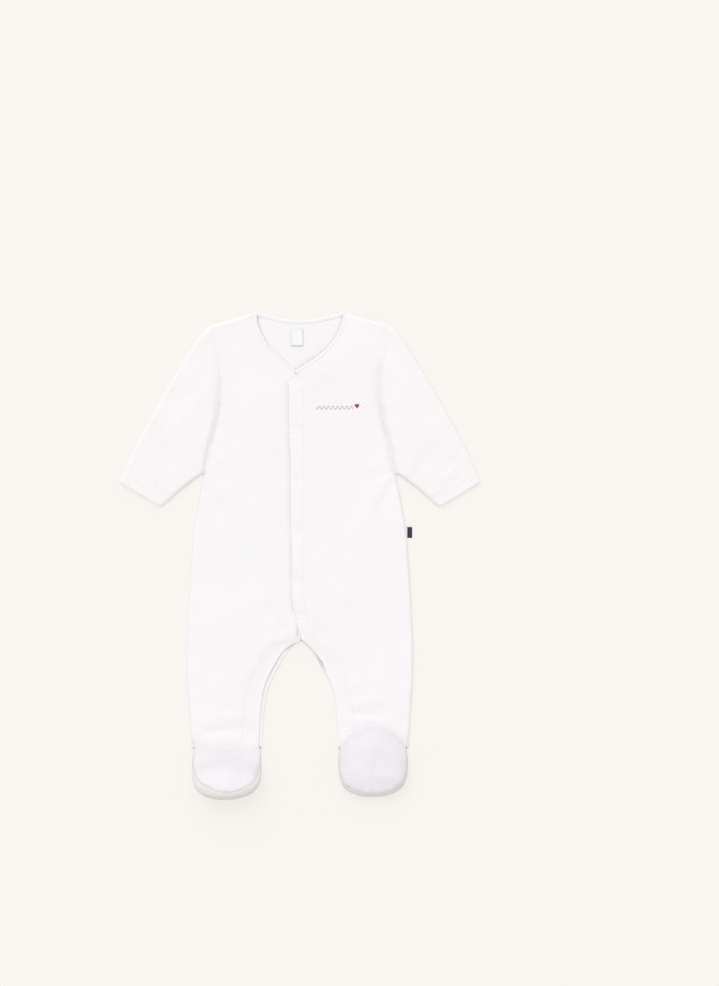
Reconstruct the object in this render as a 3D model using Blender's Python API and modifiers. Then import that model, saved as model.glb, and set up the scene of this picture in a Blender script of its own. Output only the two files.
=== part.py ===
"""A baby's footed sleepsuit in white cotton velour, laid flat on its back.

The tables are in millimetres and the scene in metres. +X is the wearer's left, +Y runs up
to the neck and +Z is up, with the ground at zero. In the tables, "out" is the distance from
the centre line, "down" is the distance below the top of the shoulders and "up" is the
height above the ground.
"""

import math

import bmesh
import bpy
from mathutils import Vector

MM = 0.001
LENGTH = 560.6
TOP = LENGTH / 2

CLOTH = 1.8
SEAM_GAP = 0.3
BACK_TOP = CLOTH
SEAM_UP = BACK_TOP + 0.45
FRONT_UP = 6.4
SLEEVE_UP = 6.6
SLEEVE_EDGE_UP = 2.0
BINDING_WIDTH = 5.0
BINDING_THICK = 2.4
BINDING_GAP = 0.5
OVER, UNDER = 1, -1


def table(columns, *rows):
    """Rows of numbers under named columns."""
    names = columns.split()
    return [dict(zip(names, row)) for row in rows]


# ---------------------------------------------------------------- the pattern's edges

SHOULDER_NECK = {"out": 56.0, "down": 2.4}
SHOULDER_TIP = {"out": 101.0, "down": 15.7}
ARMPIT = {"out": 109.9, "down": 187.2}
CROTCH_DOWN = 377.0
HEEL_DOWN = 500.0

NECK_OVER = table(
    "out down",
    (49.8, 0.6),
    (47.6, 14.0),
    (41.6, 28.0),
    (34.0, 38.4),
    (23.0, 49.4),
    (13.5, 56.0),
    (-2.9, 66.6),
    (-6.6, 69.0),
)
NECK_UNDER = table(
    "out down",
    (49.8, 0.6),
    (48.0, 12.6),
    (43.8, 23.8),
    (36.7, 37.0),
    (29.5, 45.6),
    (17.2, 57.0),
    (6.9, 66.0),
    (-1.5, 72.0),
)
BACK_NECK = table("out down", (0.0, 10.0), (16.0, 8.8), (32.0, 5.6), (49.8, 0.6))
ARMHOLE = table(
    "down out",
    (15.7, 101.0),
    (37.5, 98.6),
    (62.8, 94.0),
    (80.0, 92.0),
    (102.5, 92.6),
    (122.3, 95.2),
    (142.0, 100.0),
    (165.0, 106.0),
    (187.2, 109.9),
)
SIDE = table(
    "down out",
    (187.2, 109.9),
    (208.8, 114.4),
    (228.7, 118.1),
    (250.0, 122.0),
    (276.0, 124.0),
    (321.0, 127.0),
    (378.0, 129.7),
    (418.0, 129.7),
    (469.0, 126.7),
    (500.0, 124.6),
    (516.0, 123.4),
)
INNER_LEG = table(
    "down out",
    (377.0, 0.0),
    (384.0, 8.4),
    (391.0, 14.5),
    (412.0, 26.6),
    (432.0, 36.0),
    (450.0, 40.0),
    (480.0, 42.6),
    (516.0, 43.6),
)
OVER_EDGE = table(
    "down out",
    (74.8, -4.6),
    (82.5, -13.1),
    (150.0, -13.2),
    (250.0, -12.4),
    (321.0, -11.6),
    (334.0, -8.6),
    (351.0, -4.9),
    (367.0, -1.2),
    (372.0, 0.4),
)
UNDER_EDGE = table(
    "down out",
    (77.4, -2.6),
    (82.5, -3.0),
    (150.0, -3.2),
    (321.0, -2.6),
    (345.0, -1.4),
    (367.0, 0.0),
    (372.0, 0.6),
)
SNAP_BAND = 5.5
BAND_SHARE = 0.7
LAP_BLEND = 3.0

# The back's rows, by how far down its side each one ends.
BACK_OUTER_DOWN = (
    15.7, 26.0, 38.0, 52.0, 66.0, 82.0, 102.0, 122.0, 142.0, 164.0, 187.2, 208.0, 230.0,
    254.0, 280.0, 310.0, 345.0, 377.0, 384.0, 391.0, 401.0, 412.0, 432.0, 450.0, 475.0, 500.0,
)
BACK_LEVEL_AFTER = 6
BACK_NECK_IN = 1.5
BACK_COLUMNS = 3

# The cloth's fall towards a sewn edge: how far in from the edge, and what share of the
# full height it has there.
SEAM_ROLL = table(
    "inset rise",
    (0.0, 0.0),
    (0.0, 0.2),
    (0.8, 0.58),
    (2.6, 0.86),
    (6.0, 0.98),
    (10.0, 1.0),
)
ARM_ROLL = table(
    "inset rise",
    (0.0, 0.43),
    (0.8, 0.49),
    (1.8, 0.6),
    (3.4, 0.75),
    (6.5, 0.93),
    (10.0, 1.0),
)
ARM_SHARE = table("down share", (15.7, 1.0), (176.0, 1.0), (188.0, 0.0))

# The height of each front along its free edge, and how far that height is kept.
OVER_FALL = table(
    "down up keep",
    (0.6, 4.6, 0.0),
    (25.0, 5.2, 0.0),
    (50.0, 6.1, 0.0),
    (70.0, 7.0, 18.0),
    (355.0, 7.0, 18.0),
    (374.0, 6.9, 8.0),
    (394.0, 4.6, 6.0),
    (520.0, 4.6, 6.0),
)
UNDER_FALL = table(
    "down up keep",
    (0.6, 4.5, 0.0),
    (25.0, 4.6, 0.0),
    (50.0, 4.5, 4.0),
    (66.0, 4.4, 22.0),
    (355.0, 4.4, 20.0),
    (374.0, 4.4, 8.0),
    (394.0, 4.5, 6.0),
    (520.0, 4.6, 6.0),
)
FALL_BLEND = 16.0

FRONT_ROWS = table(
    "inner outer",
    (22.0, 36.0),
    (32.0, 50.0),
    (42.0, 64.0),
    (52.0, 78.0),
    (62.0, 91.0),
    (70.0, 104.0),
    (78.0, 115.0),
    (84.0, 124.0),
    (104.0, 140.0),
    (128.0, 156.0),
    (152.0, 171.0),
    (172.0, 181.0),
    (187.2, 187.2),
    (206.0, 206.0),
    (228.0, 228.0),
    (252.0, 252.0),
    (276.0, 276.0),
    (300.0, 300.0),
    (322.0, 322.0),
    (340.0, 340.0),
    (356.0, 356.0),
    (366.0, 366.0),
    (374.0, 374.0),
    (382.0, 382.0),
    (392.0, 392.0),
    (406.0, 406.0),
    (422.0, 422.0),
    (440.0, 440.0),
)
LEG_END_FROM = 440.0
LEG_END_STEPS = (0.25, 0.5, 0.75, 1.0)
FRONT_COLUMNS = (0.0, 0.07, 0.15, 0.25, 0.38, 0.53, 0.69, 0.85)

# The largest folds: where each one's middle is, which way it runs (degrees, 0 across and
# 90 down the suit), its length, its width and its height.
FOLDS_OVER = table(
    "out down turn length width high",
    (84.0, 222.0, 118.0, 92.0, 12.0, 0.8),
    (70.0, 128.0, 70.0, 70.0, 14.0, 0.6),
    (60.0, 330.0, 28.0, 84.0, 13.0, 0.7),
    (98.0, 402.0, 96.0, 90.0, 12.0, 0.7),
    (74.0, 452.0, 12.0, 50.0, 9.0, -0.8),
)
FOLDS_UNDER = table(
    "out down turn length width high",
    (88.0, 206.0, 112.0, 80.0, 12.0, 0.8),
    (62.0, 112.0, 64.0, 62.0, 13.0, 0.6),
    (66.0, 342.0, 34.0, 90.0, 14.0, 0.8),
    (92.0, 424.0, 88.0, 84.0, 13.0, 0.6),
    (78.0, 482.0, 4.0, 56.0, 9.0, -0.9),
)

SLEEVE_TOP = table(
    "share out down",
    (0.0, 101.3, 15.9),
    (0.06, 107.6, 19.0),
    (0.15, 117.0, 30.6),
    (0.28, 129.4, 49.0),
    (0.42, 143.3, 72.0),
    (0.57, 158.0, 96.4),
    (0.72, 173.0, 123.6),
    (0.86, 188.4, 152.8),
    (0.95, 200.0, 177.4),
    (1.0, 207.6, 194.6),
)
SLEEVE_UNDER = table(
    "share out down",
    (0.0, 110.2, 187.2),
    (0.06, 111.6, 187.4),
    (0.15, 116.4, 190.0),
    (0.28, 122.6, 194.4),
    (0.42, 129.6, 199.8),
    (0.57, 137.0, 205.6),
    (0.72, 144.4, 211.8),
    (0.86, 151.4, 218.0),
    (0.95, 156.0, 222.0),
    (1.0, 158.6, 224.0),
)
SLEEVE_RISE = table(
    "share rise", (0.0, 0.46), (0.06, 0.78), (0.15, 1.0), (0.9, 1.0), (1.0, 0.88)
)
SLEEVE_RINGS = (0.0, 0.03, 0.07, 0.13, 0.22, 0.32, 0.43, 0.54, 0.65, 0.76, 0.87, 0.95, 1.0)
SLEEVE_EDGE = table(
    "inset over under", (0.6, 0.34, 0.7), (2.2, 0.68, 0.0), (6.0, 0.91, 0.0)
)
SLEEVE_MIDDLE = (0.12, 0.26, 0.42, 0.58, 0.74, 0.88)
FOLDS_SLEEVE = table(
    "out down turn length width high",
    (126.0, 120.0, 62.0, 80.0, 11.0, 0.8),
    (150.0, 168.0, 128.0, 64.0, 10.0, -0.7),
    (118.0, 150.0, 84.0, 56.0, 9.0, 0.6),
)

SLEEVE_BOW = 4
SLEEVE_SIDE = 1.1 * CLOTH
SLEEVE_HOLLOW = 0.3
SLEEVE_HOLLOW_MIDDLE = CLOTH + 0.15

# The neck binding: its places at the shoulder, its height along each front and its section.
BINDING_CORNER = table("out down up", (51.8, 5.2, 3.5), (50.0, 2.4, 3.0), (45.5, 4.2, 1.5))
BINDING_OVER_UP = table("down up", (0.0, 3.5), (6.0, 3.6), (25.0, 4.2), (50.0, 5.2), (66.0, 6.1))
BINDING_UNDER_UP = table("down up", (0.0, 3.5), (6.0, 3.6), (25.0, 3.6), (50.0, 3.5), (66.0, 3.1))
BINDING_SECTION = table(
    "across up",
    (-0.5, -0.22),
    (-0.5, 0.22),
    (-0.36, 0.5),
    (0.36, 0.5),
    (0.5, 0.22),
    (0.5, -0.22),
    (0.36, -0.5),
    (-0.36, -0.5),
)
BINDING_STEPS = 3

# The feet, from the toe round one side to the ankle. "out" and "down" are the foot's
# outline, "level" is its height there and "seam" is how far above it the sole's seam runs,
# in degrees. The top and bottom columns are the lines down the middle of the foot.
FOOT_OUT = 83.8
FOOT_COLUMNS = "out down level seam top_down top_up bottom_down bottom_up bow"
FOOT_LEFT = table(
    FOOT_COLUMNS,
    (0.0, 555.5, 8.5, 36.0, 528.0, 25.8, 530.0, 0.0, 1.0),
    (13.0, 554.8, 8.5, 36.0, 527.0, 25.9, 529.0, 0.0, 1.0),
    (25.0, 551.8, 8.4, 33.0, 524.5, 26.1, 526.5, 0.0, 1.0),
    (33.5, 546.0, 8.2, 28.0, 520.5, 26.4, 522.5, 0.0, 1.1),
    (38.0, 537.5, 7.8, 22.0, 515.0, 26.4, 518.0, 0.0, 1.2),
    (39.9, 526.0, 7.0, 14.0, 507.0, 25.0, 513.5, 0.0, 1.3),
    (40.0, 514.0, 5.2, 6.0, 495.0, 20.0, 508.0, 0.0, 1.6),
    (39.3, 500.3, 2.2, 0.0, 476.3, 6.5, 500.3, 0.0, 2.0),
)
FOOT_RIGHT = table(
    FOOT_COLUMNS,
    (0.0, 560.5, 24.5, 42.0, 544.5, 40.4, 541.0, 3.6, 1.0),
    (13.0, 559.8, 24.3, 42.0, 543.5, 40.0, 540.0, 3.4, 1.0),
    (25.0, 556.8, 23.5, 38.0, 540.5, 38.8, 537.0, 2.7, 1.0),
    (33.5, 551.2, 21.8, 32.0, 536.0, 36.2, 533.0, 1.8, 1.1),
    (38.0, 543.0, 18.4, 24.0, 530.0, 32.0, 528.0, 0.9, 1.2),
    (39.5, 532.0, 13.2, 15.0, 523.0, 26.0, 522.0, 0.2, 1.3),
    (39.5, 517.0, 6.6, 6.0, 513.0, 15.5, 512.0, 0.0, 1.4),
    (38.9, 500.3, 2.2, 0.0, 503.0, 6.5, 500.3, 0.0, 2.0),
)
FOOT_STEPS = 6
FOOT_ROUND = 0.77
FOOT_GAP = 0.55
ANKLE_GAP = 0.9

SNAP_RADIUS = 4.4
SNAP_TOP_RADIUS = 3.5
SNAP_THICK = 1.1
SNAP_SIDES = 16
FRONT_SNAPS_DOWN = (79.5, 136.0, 194.5, 253.0, 309.5, 350.0)
FRONT_SNAP_OUT = -5.0
FRONT_SNAP_REACH = 26.4
LEG_SNAPS = table("down inset", (440.0, 12.0), (478.0, 11.0))

LABEL = {"out": -3.5, "down": 29.5, "width": 13.7, "length": 19.5, "thick": 0.5}
TAB = {"down": 253.8, "width": 5.6, "length": 12.6, "thick": 1.0}

FINISHES = table(
    "name red green blue rough",
    ("velour", 0.93, 0.925, 0.94, 0.9),
    ("cap", 0.95, 0.95, 0.95, 0.35),
    ("tape", 0.96, 0.96, 0.96, 0.7),
    ("navy", 0.02, 0.035, 0.09, 0.7),
)


# ---------------------------------------------------------------- working out points


def follow(rows, along, value):
    """A smooth curve through two columns of a table, as a function."""
    keys = [row[along] for row in rows]
    values = [row[value] for row in rows]
    last = len(keys) - 1
    slopes = []
    for i in range(last + 1):
        before, after = max(i - 1, 0), min(i + 1, last)
        slopes.append((values[after] - values[before]) / (keys[after] - keys[before]))

    def at(where):
        where = min(max(where, keys[0]), keys[-1])
        i = next(n for n in range(last) if where <= keys[n + 1])
        span = keys[i + 1] - keys[i]
        t = (where - keys[i]) / span
        rise = values[i + 1] - values[i]
        bend = (1 - t) * (slopes[i] * span - rise) - t * (slopes[i + 1] * span - rise)
        return values[i] + rise * t + t * (1 - t) * bend

    return at


def straight(rows, along, value):
    """The same with straight runs, for what must not swing past its rows."""
    keys = [row[along] for row in rows]
    values = [row[value] for row in rows]

    def at(where):
        where = min(max(where, keys[0]), keys[-1])
        i = next(n for n in range(len(keys) - 1) if where <= keys[n + 1])
        t = (where - keys[i]) / (keys[i + 1] - keys[i])
        return values[i] + (values[i + 1] - values[i]) * t

    return at


def mix(a, b, t):
    return a + (b - a) * t


def ease(t):
    t = min(max(t, 0.0), 1.0)
    return t * t * (3 - 2 * t)


def spot(out, down, up):
    """A point of the scene, in metres."""
    return Vector((out, TOP - down, up)) * MM


def shifted(rows, distance):
    """The line through the rows, moved sideways away from the neck hole."""
    moved = []
    for i, row in enumerate(rows):
        before = rows[max(i - 1, 0)]
        after = rows[min(i + 1, len(rows) - 1)]
        run = after["out"] - before["out"]
        fall = after["down"] - before["down"]
        size = math.hypot(run, fall)
        moved.append(
            {
                "out": row["out"] + distance * fall / size,
                "down": row["down"] - distance * run / size,
            }
        )
    return moved


def fold_height(folds, out, down):
    """How far the folds lift the cloth at a place."""
    total = 0.0
    for fold in folds:
        turn = math.radians(fold["turn"])
        right = out - fold["out"]
        below = down - fold["down"]
        along = right * math.cos(turn) + below * math.sin(turn)
        across = below * math.cos(turn) - right * math.sin(turn)
        reach = max(0.0, 1 - (2 * along / fold["length"]) ** 2) ** 2
        total += fold["high"] * reach * math.exp(-((across / fold["width"]) ** 2))
    return total


# ---------------------------------------------------------------- making solids


def collection(name):
    made = bpy.data.collections.new(name)
    bpy.context.scene.collection.children.link(made)
    return made


def finish(row):
    made = bpy.data.materials.new(row["name"])
    made.use_nodes = True
    shader = made.node_tree.nodes["Principled BSDF"]
    shader.inputs["Base Color"].default_value = (row["red"], row["green"], row["blue"], 1)
    shader.inputs["Roughness"].default_value = row["rough"]
    return made


def add_object(name, build, material):
    """Makes an object of what was built."""
    mesh = bpy.data.meshes.new(name)
    build.to_mesh(mesh)
    build.free()
    mesh.materials.append(bpy.data.materials[material])
    mesh.shade_smooth()
    mesh.set_sharp_from_angle(angle=math.radians(50))
    made = bpy.data.objects.new(name, mesh)
    bpy.data.collections["sleepsuit"].objects.link(made)
    return made


def quads(build, rows, closed=False, turned=False):
    """Faces between rows of vertices; closed joins each row's ends."""
    for upper, lower in zip(rows, rows[1:]):
        count = len(upper)
        for i in range(count if closed else count - 1):
            j = (i + 1) % count
            corners = (upper[i], lower[i], lower[j], upper[j])
            build.faces.new(corners[::-1] if turned else corners)


def cloth_sheet(name, rows, mirror=False, upside_down=False):
    """A cloth wall: its outer side is a grid of points, and it thickens inwards."""
    build = bmesh.new()
    grid = [[build.verts.new(point) for point in row] for row in rows]
    quads(build, grid, turned=upside_down)
    made = add_object(name, build, "velour")
    if mirror:
        half = made.modifiers.new("Mirror", "MIRROR")
        half.use_axis[0] = True
        half.merge_threshold = 0.00005
    wall = made.modifiers.new("Wall", "SOLIDIFY")
    wall.thickness = CLOTH * MM
    wall.offset = -1
    return made


def mirrored(rows):
    """The same grid on the other side of the centre line, still facing up."""
    return [[Vector((-p.x, p.y, p.z)) for p in reversed(row)] for row in rows]


# ---------------------------------------------------------------- back


def back_rows():
    """Half of the back, from the neck to the heel, on the ground."""
    neck = shifted(BACK_NECK, -(BINDING_WIDTH + BINDING_GAP))
    neck_down = follow(neck, "out", "down")
    neck_out = neck[-1]["out"] - BACK_NECK_IN
    side = follow(SIDE, "down", "out")
    arm = follow(ARMHOLE, "down", "out")
    leg = follow(INNER_LEG, "down", "out")
    share_at_neck = neck_out / SHOULDER_TIP["out"]
    share_at_seam = SHOULDER_NECK["out"] / SHOULDER_TIP["out"]
    steps = [i / BACK_COLUMNS for i in range(BACK_COLUMNS + 1)]
    columns = [share_at_neck * step for step in steps]
    columns += [mix(share_at_seam, 1.0, step) for step in steps]
    seam = [{"out": neck_out, "down": neck_down(neck_out)}, SHOULDER_NECK, SHOULDER_TIP]
    seam_down = straight(seam, "out", "down")

    def top_down(out):
        return neck_down(out) if out <= neck_out else seam_down(out)

    rows = []
    for step, outer in enumerate(BACK_OUTER_DOWN):
        flat = ease(step / BACK_LEVEL_AFTER)
        row = []
        for share in columns:
            down = mix(top_down(share * SHOULDER_TIP["out"]), 0.0, flat) + mix(
                outer - SHOULDER_TIP["down"], outer, flat
            )
            edge = side(outer) if outer > ARMPIT["down"] else arm(outer)
            inner = leg(down) if outer >= CROTCH_DOWN else 0.0
            row.append(spot(mix(inner, edge, share), down, 0.0))
        rows.append(row)
    return rows




# ---------------------------------------------------------------- fronts


def inner_edge(neck_rows, edge_rows):
    """The free edge of a front: neckline, lap, then inner leg inside the snap band."""
    neck = shifted(neck_rows, BINDING_WIDTH + BINDING_GAP)
    neck_out = follow(neck, "down", "out")
    lap_out = straight(edge_rows, "down", "out")
    leg_out = follow(INNER_LEG, "down", "out")
    neck_end = neck[-1]["down"]
    lap_end = edge_rows[-1]["down"]

    def at(down):
        if down <= neck_end:
            return neck_out(down)
        if down <= lap_end:
            return mix(neck[-1]["out"], lap_out(down), ease((down - neck_end) / LAP_BLEND))
        return leg_out(down + SNAP_BAND * BAND_SHARE) + SNAP_BAND * BAND_SHARE

    return at


def front_rows(side):
    """The grid of one front, on the side of positive out."""
    over = side == OVER
    edge = inner_edge(
        NECK_OVER if over else NECK_UNDER, OVER_EDGE if over else UNDER_EDGE
    )
    fall = OVER_FALL if over else UNDER_FALL
    edge_up = straight(fall, "down", "up")
    edge_keep = straight(fall, "down", "keep")
    folds = FOLDS_OVER if over else FOLDS_UNDER
    ankle = ankle_line(FOOT_LEFT if over else FOOT_RIGHT)
    side_out = follow(SIDE, "down", "out")
    arm_out = follow(ARMHOLE, "down", "out")
    arm_share = straight(ARM_SHARE, "down", "share")

    stations = []
    for roll in SEAM_ROLL:
        start = SHOULDER_NECK["down"] + roll["inset"], SHOULDER_TIP["down"] + roll["inset"]
        stations.append((*start, roll["rise"], 0.0))
    for row in FRONT_ROWS:
        stations.append((row["inner"], row["outer"], 1.0, 0.0))
    for step in LEG_END_STEPS:
        stations.append((LEG_END_FROM, LEG_END_FROM, 1.0, step))

    rows = []
    for inner, outer, rise, step in stations:
        out_edge = arm_out(outer) if outer <= ARMPIT["down"] else side_out(outer)
        width = out_edge - edge(inner)
        arm = arm_share(outer)
        insets = [mix(s["inset"], a["inset"], arm) for s, a in zip(SEAM_ROLL, ARM_ROLL)]
        rises = [mix(s["rise"], a["rise"], arm) for s, a in zip(SEAM_ROLL, ARM_ROLL)]
        shares = [share * (1 - insets[-1] / width) for share in FRONT_COLUMNS]
        shares += [1 - inset / width for inset in reversed(insets)]
        fractions = [1.0] * len(FRONT_COLUMNS) + list(reversed(rises))
        row = []
        for share, fraction in zip(shares, fractions):
            down = mix(inner, outer, share)
            if step:
                end = ankle(mix(edge(HEEL_DOWN), side_out(HEEL_DOWN), share))
                down = mix(down, end, step)
            if down <= ARMPIT["down"]:
                far = arm_out(outer)
            else:
                far = side_out(down)
            near = edge(mix(inner, down, step) if step else inner)
            out = mix(near, far, share)
            from_edge = (out - near) - edge_keep(down)
            free = ease(from_edge / FALL_BLEND)
            full = mix(edge_up(down), FRONT_UP + fold_height(folds, out, down), free)
            row.append(spot(out, down, SEAM_UP + (full - SEAM_UP) * fraction * rise))
        rows.append(row)
    return rows


# ---------------------------------------------------------------- sleeves


def sleeve_rings():
    """Outer and inner rings of the left sleeve, from the armhole to the cuff."""
    top = {key: follow(SLEEVE_TOP, "share", key) for key in ("out", "down")}
    under = {key: follow(SLEEVE_UNDER, "share", key) for key in ("out", "down")}
    rise = follow(SLEEVE_RISE, "share", "rise")
    arm = follow(ARMHOLE, "down", "out")
    outer_rings, inner_rings = [], []
    for share in SLEEVE_RINGS:
        start = (top["out"](share), top["down"](share))
        end = (under["out"](share), under["down"](share))
        width = math.dist(start, end)
        bow = (1 - share) ** SLEEVE_BOW

        def at(q, up):
            out = mix(start[0], end[0], q)
            down = mix(start[1], end[1], q)
            chord = mix(SHOULDER_TIP["out"], ARMPIT["out"], q)
            seam = arm(mix(SHOULDER_TIP["down"], ARMPIT["down"], q))
            return spot(out + (seam - chord) * bow, down, up)

        def crown(q):
            out = mix(start[0], end[0], q)
            down = mix(start[1], end[1], q)
            return SLEEVE_UP + fold_height(FOLDS_SLEEVE, out, down)

        near = [row["inset"] / width for row in SLEEVE_EDGE]
        across = near + list(SLEEVE_MIDDLE) + [1 - q for q in reversed(near)]
        edges = [row["over"] for row in SLEEVE_EDGE]
        over_shape = edges + [1.0] * len(SLEEVE_MIDDLE) + edges[::-1]
        edges = [row["under"] for row in SLEEVE_EDGE]
        under_shape = edges + [0.0] * len(SLEEVE_MIDDLE) + edges[::-1]
        over_up = [
            SLEEVE_EDGE_UP + (crown(q) - SLEEVE_EDGE_UP) * shape * rise(share)
            for q, shape in zip(across, over_shape)
        ]

        outer = [at(0.0, SLEEVE_EDGE_UP)]
        outer += [at(q, up) for q, up in zip(across, over_up)]
        outer += [at(1.0, SLEEVE_EDGE_UP)]
        outer += [at(q, up) for q, up in zip(across[::-1], under_shape[::-1])]

        margin = SLEEVE_SIDE / width
        inside = [mix(margin, 1 - margin, q) for q in across]
        room = [max(SLEEVE_HOLLOW, up - 2 * CLOTH) for up in over_up]
        inner = [at(margin, SLEEVE_HOLLOW_MIDDLE)]
        inner += [at(q, CLOTH + gap) for q, gap in zip(inside, room)]
        inner += [at(1 - margin, SLEEVE_HOLLOW_MIDDLE)]
        inner += [at(q, CLOTH) for q in inside[::-1]]
        outer_rings.append(outer)
        inner_rings.append(inner)
    return outer_rings, inner_rings


def tube_wall(name, outer_rings, inner_rings, side):
    """A wall between two tubes, open at both ends."""
    build = bmesh.new()

    def ring(points):
        return [build.verts.new((p.x * side, p.y, p.z)) for p in points]

    outer = [ring(points) for points in outer_rings]
    inner = [ring(points) for points in inner_rings]
    around = outer + inner[::-1] + outer[:1]
    quads(build, around, closed=True, turned=side == OVER)
    return add_object(name, build, "velour")


# ---------------------------------------------------------------- neck binding


def binding_path():
    """Places along the middle of the binding: over neck, back neck, under neck."""
    half = BINDING_WIDTH / 2
    over = shifted(NECK_OVER, half)
    under = shifted(NECK_UNDER, half)
    back = shifted(BACK_NECK, -half)
    over_up = straight(BINDING_OVER_UP, "down", "up")
    under_up = straight(BINDING_UNDER_UP, "down", "up")
    back_up = BINDING_THICK / 2
    path = [(p["out"], p["down"], over_up(p["down"])) for p in reversed(over[1:])]
    path += [(p["out"], p["down"], p["up"]) for p in BINDING_CORNER]
    path += [(p["out"], p["down"], back_up) for p in reversed(back[:-1])]
    path += [(-p["out"], p["down"], back_up) for p in back[1:-1]]
    path += [(-p["out"], p["down"], p["up"]) for p in reversed(BINDING_CORNER)]
    path += [(-p["out"], p["down"], under_up(p["down"])) for p in under[1:]]
    return path


def band(name, path, width, thick, material):
    """A flat band swept along a path, with its width level."""
    build = bmesh.new()
    rings = []
    for i, (out, down, up) in enumerate(path):
        here = Vector((out, down))
        before = Vector(path[max(i - 1, 0)][:2])
        after = Vector(path[min(i + 1, len(path) - 1)][:2])
        ahead = (after - before).normalized()
        aside = Vector((ahead.y, -ahead.x))
        ring = []
        for corner in BINDING_SECTION:
            place = here + aside * corner["across"] * width
            ring.append(build.verts.new(spot(*place, up + corner["up"] * thick)))
        rings.append(ring)
    quads(build, rings, closed=True)
    build.faces.new(rings[0])
    build.faces.new(rings[-1][::-1])
    bmesh.ops.recalc_face_normals(build, faces=build.faces)
    return add_object(name, build, material)


def smoothed(path, steps):
    """More places on the same path, rounded by a Catmull-Rom curve."""
    fine = []
    for i in range(len(path) - 1):
        a, b = Vector(path[max(i - 1, 0)]), Vector(path[i])
        c, d = Vector(path[i + 1]), Vector(path[min(i + 2, len(path) - 1)])
        for step in range(steps):
            t = step / steps
            fine.append(
                0.5 * (2 * b + (c - a) * t + (2 * a - 5 * b + 4 * c - d) * t * t
                       + (3 * b - a - 3 * c + d) * t * t * t)
            )
    return [tuple(p) for p in fine] + [tuple(path[-1])]


# ---------------------------------------------------------------- feet


def hoop(row):
    """Places round one side of the foot, from its top line over the seam to its bottom."""
    quarter, seam = math.pi / 2, math.radians(row["seam"])
    turns = [mix(quarter, seam, i / FOOT_STEPS) for i in range(FOOT_STEPS)]
    turns += [mix(seam, -quarter, i / FOOT_STEPS) for i in range(FOOT_STEPS + 1)]
    places = []
    for turn in turns:
        reach = max(math.cos(turn), 0.0) ** FOOT_ROUND
        lift = abs(math.sin(turn)) ** FOOT_ROUND
        end = "top" if turn > 0 else "bottom"
        down = mix(row[end + "_down"], row["down"], reach ** row["bow"])
        up = mix(row["level"], row[end + "_up"], lift)
        places.append(Vector((row["out"] * reach, -down, up)))
    return places


def lining(foot_rows):
    """The rows of the pouch's inner side, one cloth further in."""
    pairs = (("out", "down", -1), ("top_down", "top_up", 1), ("bottom_down", "bottom_up", -1))
    moved = []
    for i, row in enumerate(foot_rows):
        before, after = foot_rows[max(i - 1, 0)], foot_rows[min(i + 1, len(foot_rows) - 1)]
        inner = dict(row)
        for across, along, turn in pairs:
            run = Vector((after[across] - before[across], after[along] - before[along]))
            if i == 0 and across == "out":
                run = Vector((1.0, 0.0))
            run.normalize()
            inner[across] -= turn * run.y * CLOTH
            inner[along] += turn * run.x * CLOTH
        moved.append(inner)
    return moved


def ankle_line(foot_rows):
    """How far down a front reaches at a place: just short of the foot's upper."""
    half = hoop(foot_rows[-1])[: FOOT_STEPS + 1]
    seam = [{"out": FOOT_OUT - p.x, "down": -p.y} for p in reversed(half)]
    seam += [{"out": FOOT_OUT + p.x, "down": -p.y} for p in half[1:]]
    return straight(shifted(seam, ANKLE_GAP), "out", "down")


def foot(name, foot_rows, side):
    """The upper and the sole of one foot: two walls cut from one pouch along its seam."""
    grids = []
    for rows in (foot_rows, lining(foot_rows)):
        ribs = [hoop(row) for row in rows]
        mirror = [[Vector((-p.x, p.y, p.z)) for p in rib] for rib in reversed(ribs[1:])]
        grids.append(mirror + ribs)

    parts = (("upper", FOOT_STEPS, 0), ("sole", FOOT_STEPS, 2 * FOOT_STEPS))
    for part, seam, middle in parts:
        step = 1 if middle > seam else -1
        build = bmesh.new()
        sides = [[], []]
        for ribs in zip(*grids):
            shift = (ribs[0][seam + step] - ribs[0][seam]).normalized() * FOOT_GAP / 2
            for line, rib in zip(sides, ribs):
                places = [rib[i] for i in range(seam, middle + step, step)]
                places[0] = places[0] + shift
                line.append([
                    build.verts.new(spot((FOOT_OUT + p.x * side) * side, -p.y, p.z))
                    for p in places
                ])
        outer, inner = sides
        quads(build, outer)
        quads(build, inner)
        quads(build, [[row[0] for row in outer], [row[0] for row in inner]])
        for end in (0, -1):
            quads(build, [outer[end], inner[end]])
        bmesh.ops.remove_doubles(build, verts=build.verts, dist=0.001 * MM)
        bmesh.ops.recalc_face_normals(build, faces=build.faces)
        add_object(f"foot_{part}_{name}", build, "velour")


# ---------------------------------------------------------------- small pieces


def snap(name, out, down, up):
    build = bmesh.new()
    bmesh.ops.create_cone(
        build,
        cap_ends=True,
        segments=SNAP_SIDES,
        radius1=SNAP_RADIUS * MM,
        radius2=SNAP_TOP_RADIUS * MM,
        depth=SNAP_THICK * MM,
    )
    bmesh.ops.translate(build, verts=build.verts, vec=spot(out, down, up + SNAP_THICK / 2))
    return add_object(name, build, "cap")


def tape(name, out, up, sizes, material):
    """A flat piece of woven tape with its edges along the suit."""
    build = bmesh.new()
    bmesh.ops.create_cube(build, size=MM)
    lengths = (sizes["width"], sizes["length"], sizes["thick"])
    bmesh.ops.scale(build, verts=build.verts, vec=lengths)
    middle = spot(out, sizes["down"], up + sizes["thick"] / 2)
    bmesh.ops.translate(build, verts=build.verts, vec=middle)
    return add_object(name, build, material)


def highest(rows, out, down, reach):
    """The top of a grid of cloth within reach of a place, in millimetres."""
    here = spot(out, down, 0.0)
    near = [p.z for row in rows for p in row if (p.xy - here.xy).length < reach * MM]
    return max(near) / MM


# ---------------------------------------------------------------- the sleepsuit


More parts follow.
